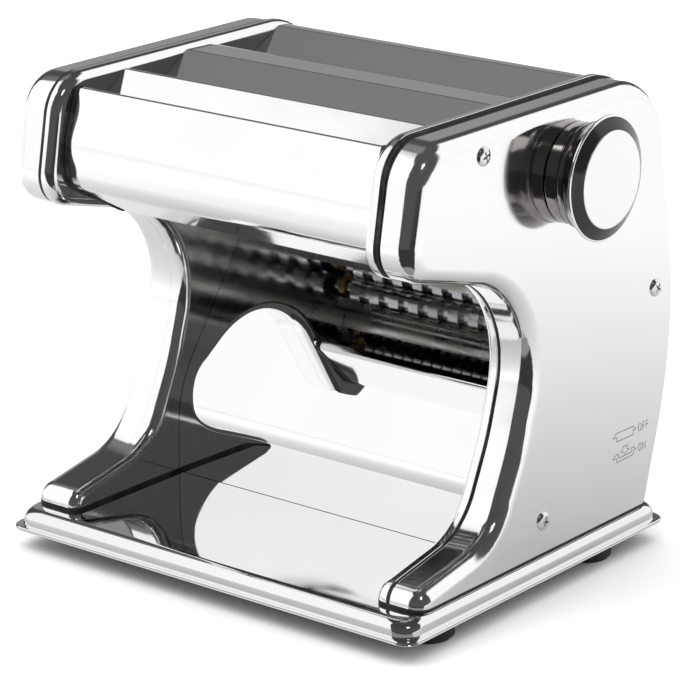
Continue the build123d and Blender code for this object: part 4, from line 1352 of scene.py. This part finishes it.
@dataclass
class BasePan(Assembly):
    """Pressed pan with a rolled shoulder and a folded lip, closing plate and rubber feet."""

    corner: float = 8.0
    wall_corner: float = 12.0
    wall_inset: float = 4.4
    table: float = 20.5
    sheet: float = 1.0
    shoulder_inset: float = 8.3
    shoulder_foot: Spot = (2.3, 12.3)
    fullness: float = 0.77
    shoulder_steps: int = 16
    lip: tuple[Spot, ...] = (
        *((2.0, 12.05), (1.0, 12.0), (0.35, 11.85), (0.05, 11.5), (0.0, 11.2), (0.1, 10.95)),
        *((0.5, 10.85), (0.5, 10.75), (0.15, 10.65), (0.05, 10.4), (0.1, 10.1), (0.4, 9.9)),
        (1.4, 9.85),
    )
    corner_steps: int = 12

    def build(self, finishes: Finishes) -> list[str]:
        """Presses the pan and dresses the parts under it."""
        names = [self.press_pan(finishes.pan).name]
        names += dress(["bottom_plate", "foot_screws"], finishes.zinc)
        return names + dress(["rubber_feet"], finishes.rubber)

    def profile(self) -> list[Spot]:
        """Section of the pan, table to lip and back under the table, as inset and height."""
        foot_inset, foot = self.shoulder_foot
        spread = self.shoulder_inset - foot_inset
        shoulder = []
        for step in range(self.shoulder_steps + 1):
            angle = math.pi / 2 * step / self.shoulder_steps
            inset = self.shoulder_inset - spread * math.sin(angle) ** self.fullness
            shoulder.append((inset, foot + (self.table - foot) * math.cos(angle) ** self.fullness))
        drop = self.sheet * 0.9
        inside = [(inset + self.sheet, height - drop) for inset, height in reversed(shoulder)]
        return shoulder + list(self.lip) + inside

    def level_line(self, inset: float, height: float) -> list[Vector]:
        """Rounded rectangle at one level of the pan.

        Args:
            inset: Distance in from the lip's edge, in millimetres.
            height: Height above the floor, in millimetres.

        Returns:
            Points of the line, in order.
        """
        share = min(1.0, inset / self.wall_inset)
        radius = self.corner + (self.wall_corner - self.corner) * share
        half_x = (PAN_HIGH.x - PAN_LOW.x) / 2 / MILLIMETRE - inset
        half_y = (PAN_HIGH.y - PAN_LOW.y) / 2 / MILLIMETRE - inset
        points = []
        for number, (way_x, way_y) in enumerate(((1, 1), (-1, 1), (-1, -1), (1, -1))):
            for step in range(self.corner_steps + 1):
                angle = math.pi / 2 * (number + step / self.corner_steps)
                x = way_x * (half_x - radius) + radius * math.cos(angle)
                y = way_y * (half_y - radius) + radius * math.sin(angle)
                points.append(at(x, y, height))
        return points

    def press_pan(self, finish: bpy.types.Material) -> bpy.types.Object:
        """Presses the pan from one sheet.

        Args:
            finish: Material of the pan.

        Returns:
            The pan.
        """
        shape = bmesh.new()
        lines = [self.level_line(*spot) for spot in self.profile()]
        rings = [[shape.verts.new(point) for point in line] for line in lines]
        skin(shape, rings, False)
        return add_piece("pressed_pan", shape, finish, "housing", ["base_pan"])


@dataclass
class Hopper(Assembly):
    """Front panel with edge trims, slot walls, rear cover and the plate behind the mouth."""

    trim_start: float = 0.02
    trim_width: float = 2.6
    trim_thickness: float = 0.45

    def build(self, finishes: Finishes) -> list[str]:
        """Dresses the sheet panels and the rods that hold the sides together."""
        sheets = ["front_panel", "front_guide", "front_divider", "middle_divider", "rear_cover"]
        names = dress(sheets, finishes.panel)
        names += dress(["guide_plate"], finishes.mirror)
        names += dress(["tie_rods", "tie_rod_nuts"], finishes.zinc)
        low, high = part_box("front_panel")
        for end, inward, name in ((low.x, 1, "left_panel_trim"), (high.x, -1, "right_panel_trim")):
            names.append(self.trim_panel(end, inward, name, finishes.seam).name)
        return names

    def trim_panel(
        self, end: float, inward: int, name: str, finish: bpy.types.Material
    ) -> bpy.types.Object:
        """Wraps one end of the front panel in an edge trim.

        Args:
            end: X of the panel's end, in metres.
            inward: Direction to the panel's middle along X.
            name: Name of the trim.
            finish: Material of the trim.

        Returns:
            The trim.
        """
        outline = face_outline("front_panel", end)
        reach = self.trim_thickness * MILLIMETRE
        shape = bmesh.new()
        rings = []
        for shift in (self.trim_start, self.trim_width):
            way = Vector((inward * shift * MILLIMETRE, 0.0, 0.0))
            corners = [place + outward * reach + way for place, outward in outline]
            rings.append([shape.verts.new(corner) for corner in corners])
        skin(shape, rings, False)
        return add_piece(name, shape, finish, "housing")


SHEET_ROLLERS = ("fixed_roller", "adjustable_roller")
CUTTER_ROLLERS = (
    *("wide_cutter_rear", "wide_cutter_front"),
    *("narrow_cutter_rear", "narrow_cutter_front"),
)


@dataclass
class Rollers(Assembly):
    """Sheet rollers, cutter rollers and their combs."""

    def build(self, finishes: Finishes) -> list[str]:
        """Dresses the rollers."""
        names = dress(SHEET_ROLLERS + CUTTER_ROLLERS, finishes.roller)
        names += dress(["wide_cutter_combs", "narrow_cutter_combs"], finishes.zinc)
        return names + dress(["shaft_bushes"], finishes.bronze)


@dataclass
class Carriage(Assembly):
    """Sliding blocks, link rod and rails of the adjustable roller."""

    def build(self, finishes: Finishes) -> list[str]:
        """Dresses the carriage."""
        names = dress(["left_carriage_block", "right_carriage_block"], finishes.bronze)
        return names + dress(["carriage_rails", "carriage_link_rod"], finishes.zinc)


@dataclass
class GearTrain(Assembly):
    """Gears, studs and clips in the left housing."""

    def build(self, finishes: Finishes) -> list[str]:
        """Dresses the gears."""
        pairs = [f"{roller}_gear" for roller in SHEET_ROLLERS + CUTTER_ROLLERS]
        train = ["input_gear", "wide_cutter_drive_gear", "narrow_cutter_drive_gear"]
        train += ["rear_idler_gear", "front_idler_gear", "transfer_gear"]
        names = dress([*pairs, "motor_pinion"], finishes.cut) + dress(train, finishes.nylon)
        return names + dress(["idler_studs", "retaining_clips"], finishes.zinc)


@dataclass
class MotorUnit(Assembly):
    """Motor, reduction box and cradle."""

    def build(self, finishes: Finishes) -> list[str]:
        """Dresses the motor."""
        names = dress(["motor"], finishes.enamel) + dress(["motor_gearbox"], finishes.grey)
        return names + dress(["motor_cradle"], finishes.zinc)


@dataclass
class RearControls(Assembly):
    """Power button with its printed mark, bezel, switch and cord inlet."""

    button: Spot = (58.0, 58.0)
    foot: Spot = (95.1, 20.7)
    slope: float = 0.2883
    proud: float = 6.5
    mark_radius: float = 3.4
    mark_width: float = 0.7
    mark_proud: float = 0.04
    arc_start: float = 125.0
    arc_sweep: float = 290.0
    arc_steps: int = 24

    def build(self, finishes: Finishes) -> list[str]:
        """Dresses the controls and prints the button's mark."""
        controls = ["power_switch", "power_button_bezel", "cord_inlet", "power_button"]
        names = dress(controls, finishes.plastic)
        shape = bmesh.new()
        radius = self.mark_radius
        arc = []
        for step in range(self.arc_steps + 1):
            angle = math.radians(self.arc_start + self.arc_sweep * step / self.arc_steps)
            arc.append((radius * math.cos(angle), radius * math.sin(angle)))
        bar = [(0.0, radius * 0.2), (0.0, radius * 1.25)]
        levels = (self.proud - self.mark_proud, self.proud + self.mark_proud)
        for line in (arc, bar):
            stroke(shape, line, self.mark_width, levels, self.on_button)
        mark = add_piece("button_mark", shape, finishes.white_mark, "button")
        return [*names, mark.name]

    def on_button(self, across: float, up: float, out: float) -> Vector:
        """Point over the button.

        Args:
            across: Distance from the button's middle along X.
            up: Distance from its middle up the rear face.
            out: Distance out of the rear face.

        Returns:
            The point in the shared frame.
        """
        lean = math.atan(self.slope)
        x, z = self.button
        y = self.foot[0] + self.slope * (z - self.foot[1])
        return at(
            x + across,
            y + up * math.sin(lean) + out * math.cos(lean),
            z + up * math.cos(lean) - out * math.sin(lean),
        )


def main() -> None:
    """Builds the scene in order."""
    logging.basicConfig(level=logging.INFO, format="%(message)s")
    Studio().build()
    finishes = Finishes()
    assemblies: list[Assembly] = [
        SideHousings(),
        CoverScrews(),
        SwitchDiagram(),
        ThicknessKnob(),
        BasePan(),
        Hopper(),
        Rollers(),
        Carriage(),
        GearTrain(),
        MotorUnit(),
        RearControls(),
    ]
    for assembly in assemblies:
        for name in assembly.build(finishes):
            log.info("%s: %s", type(assembly).__name__, name)


if __name__ == "__main__":
    main()
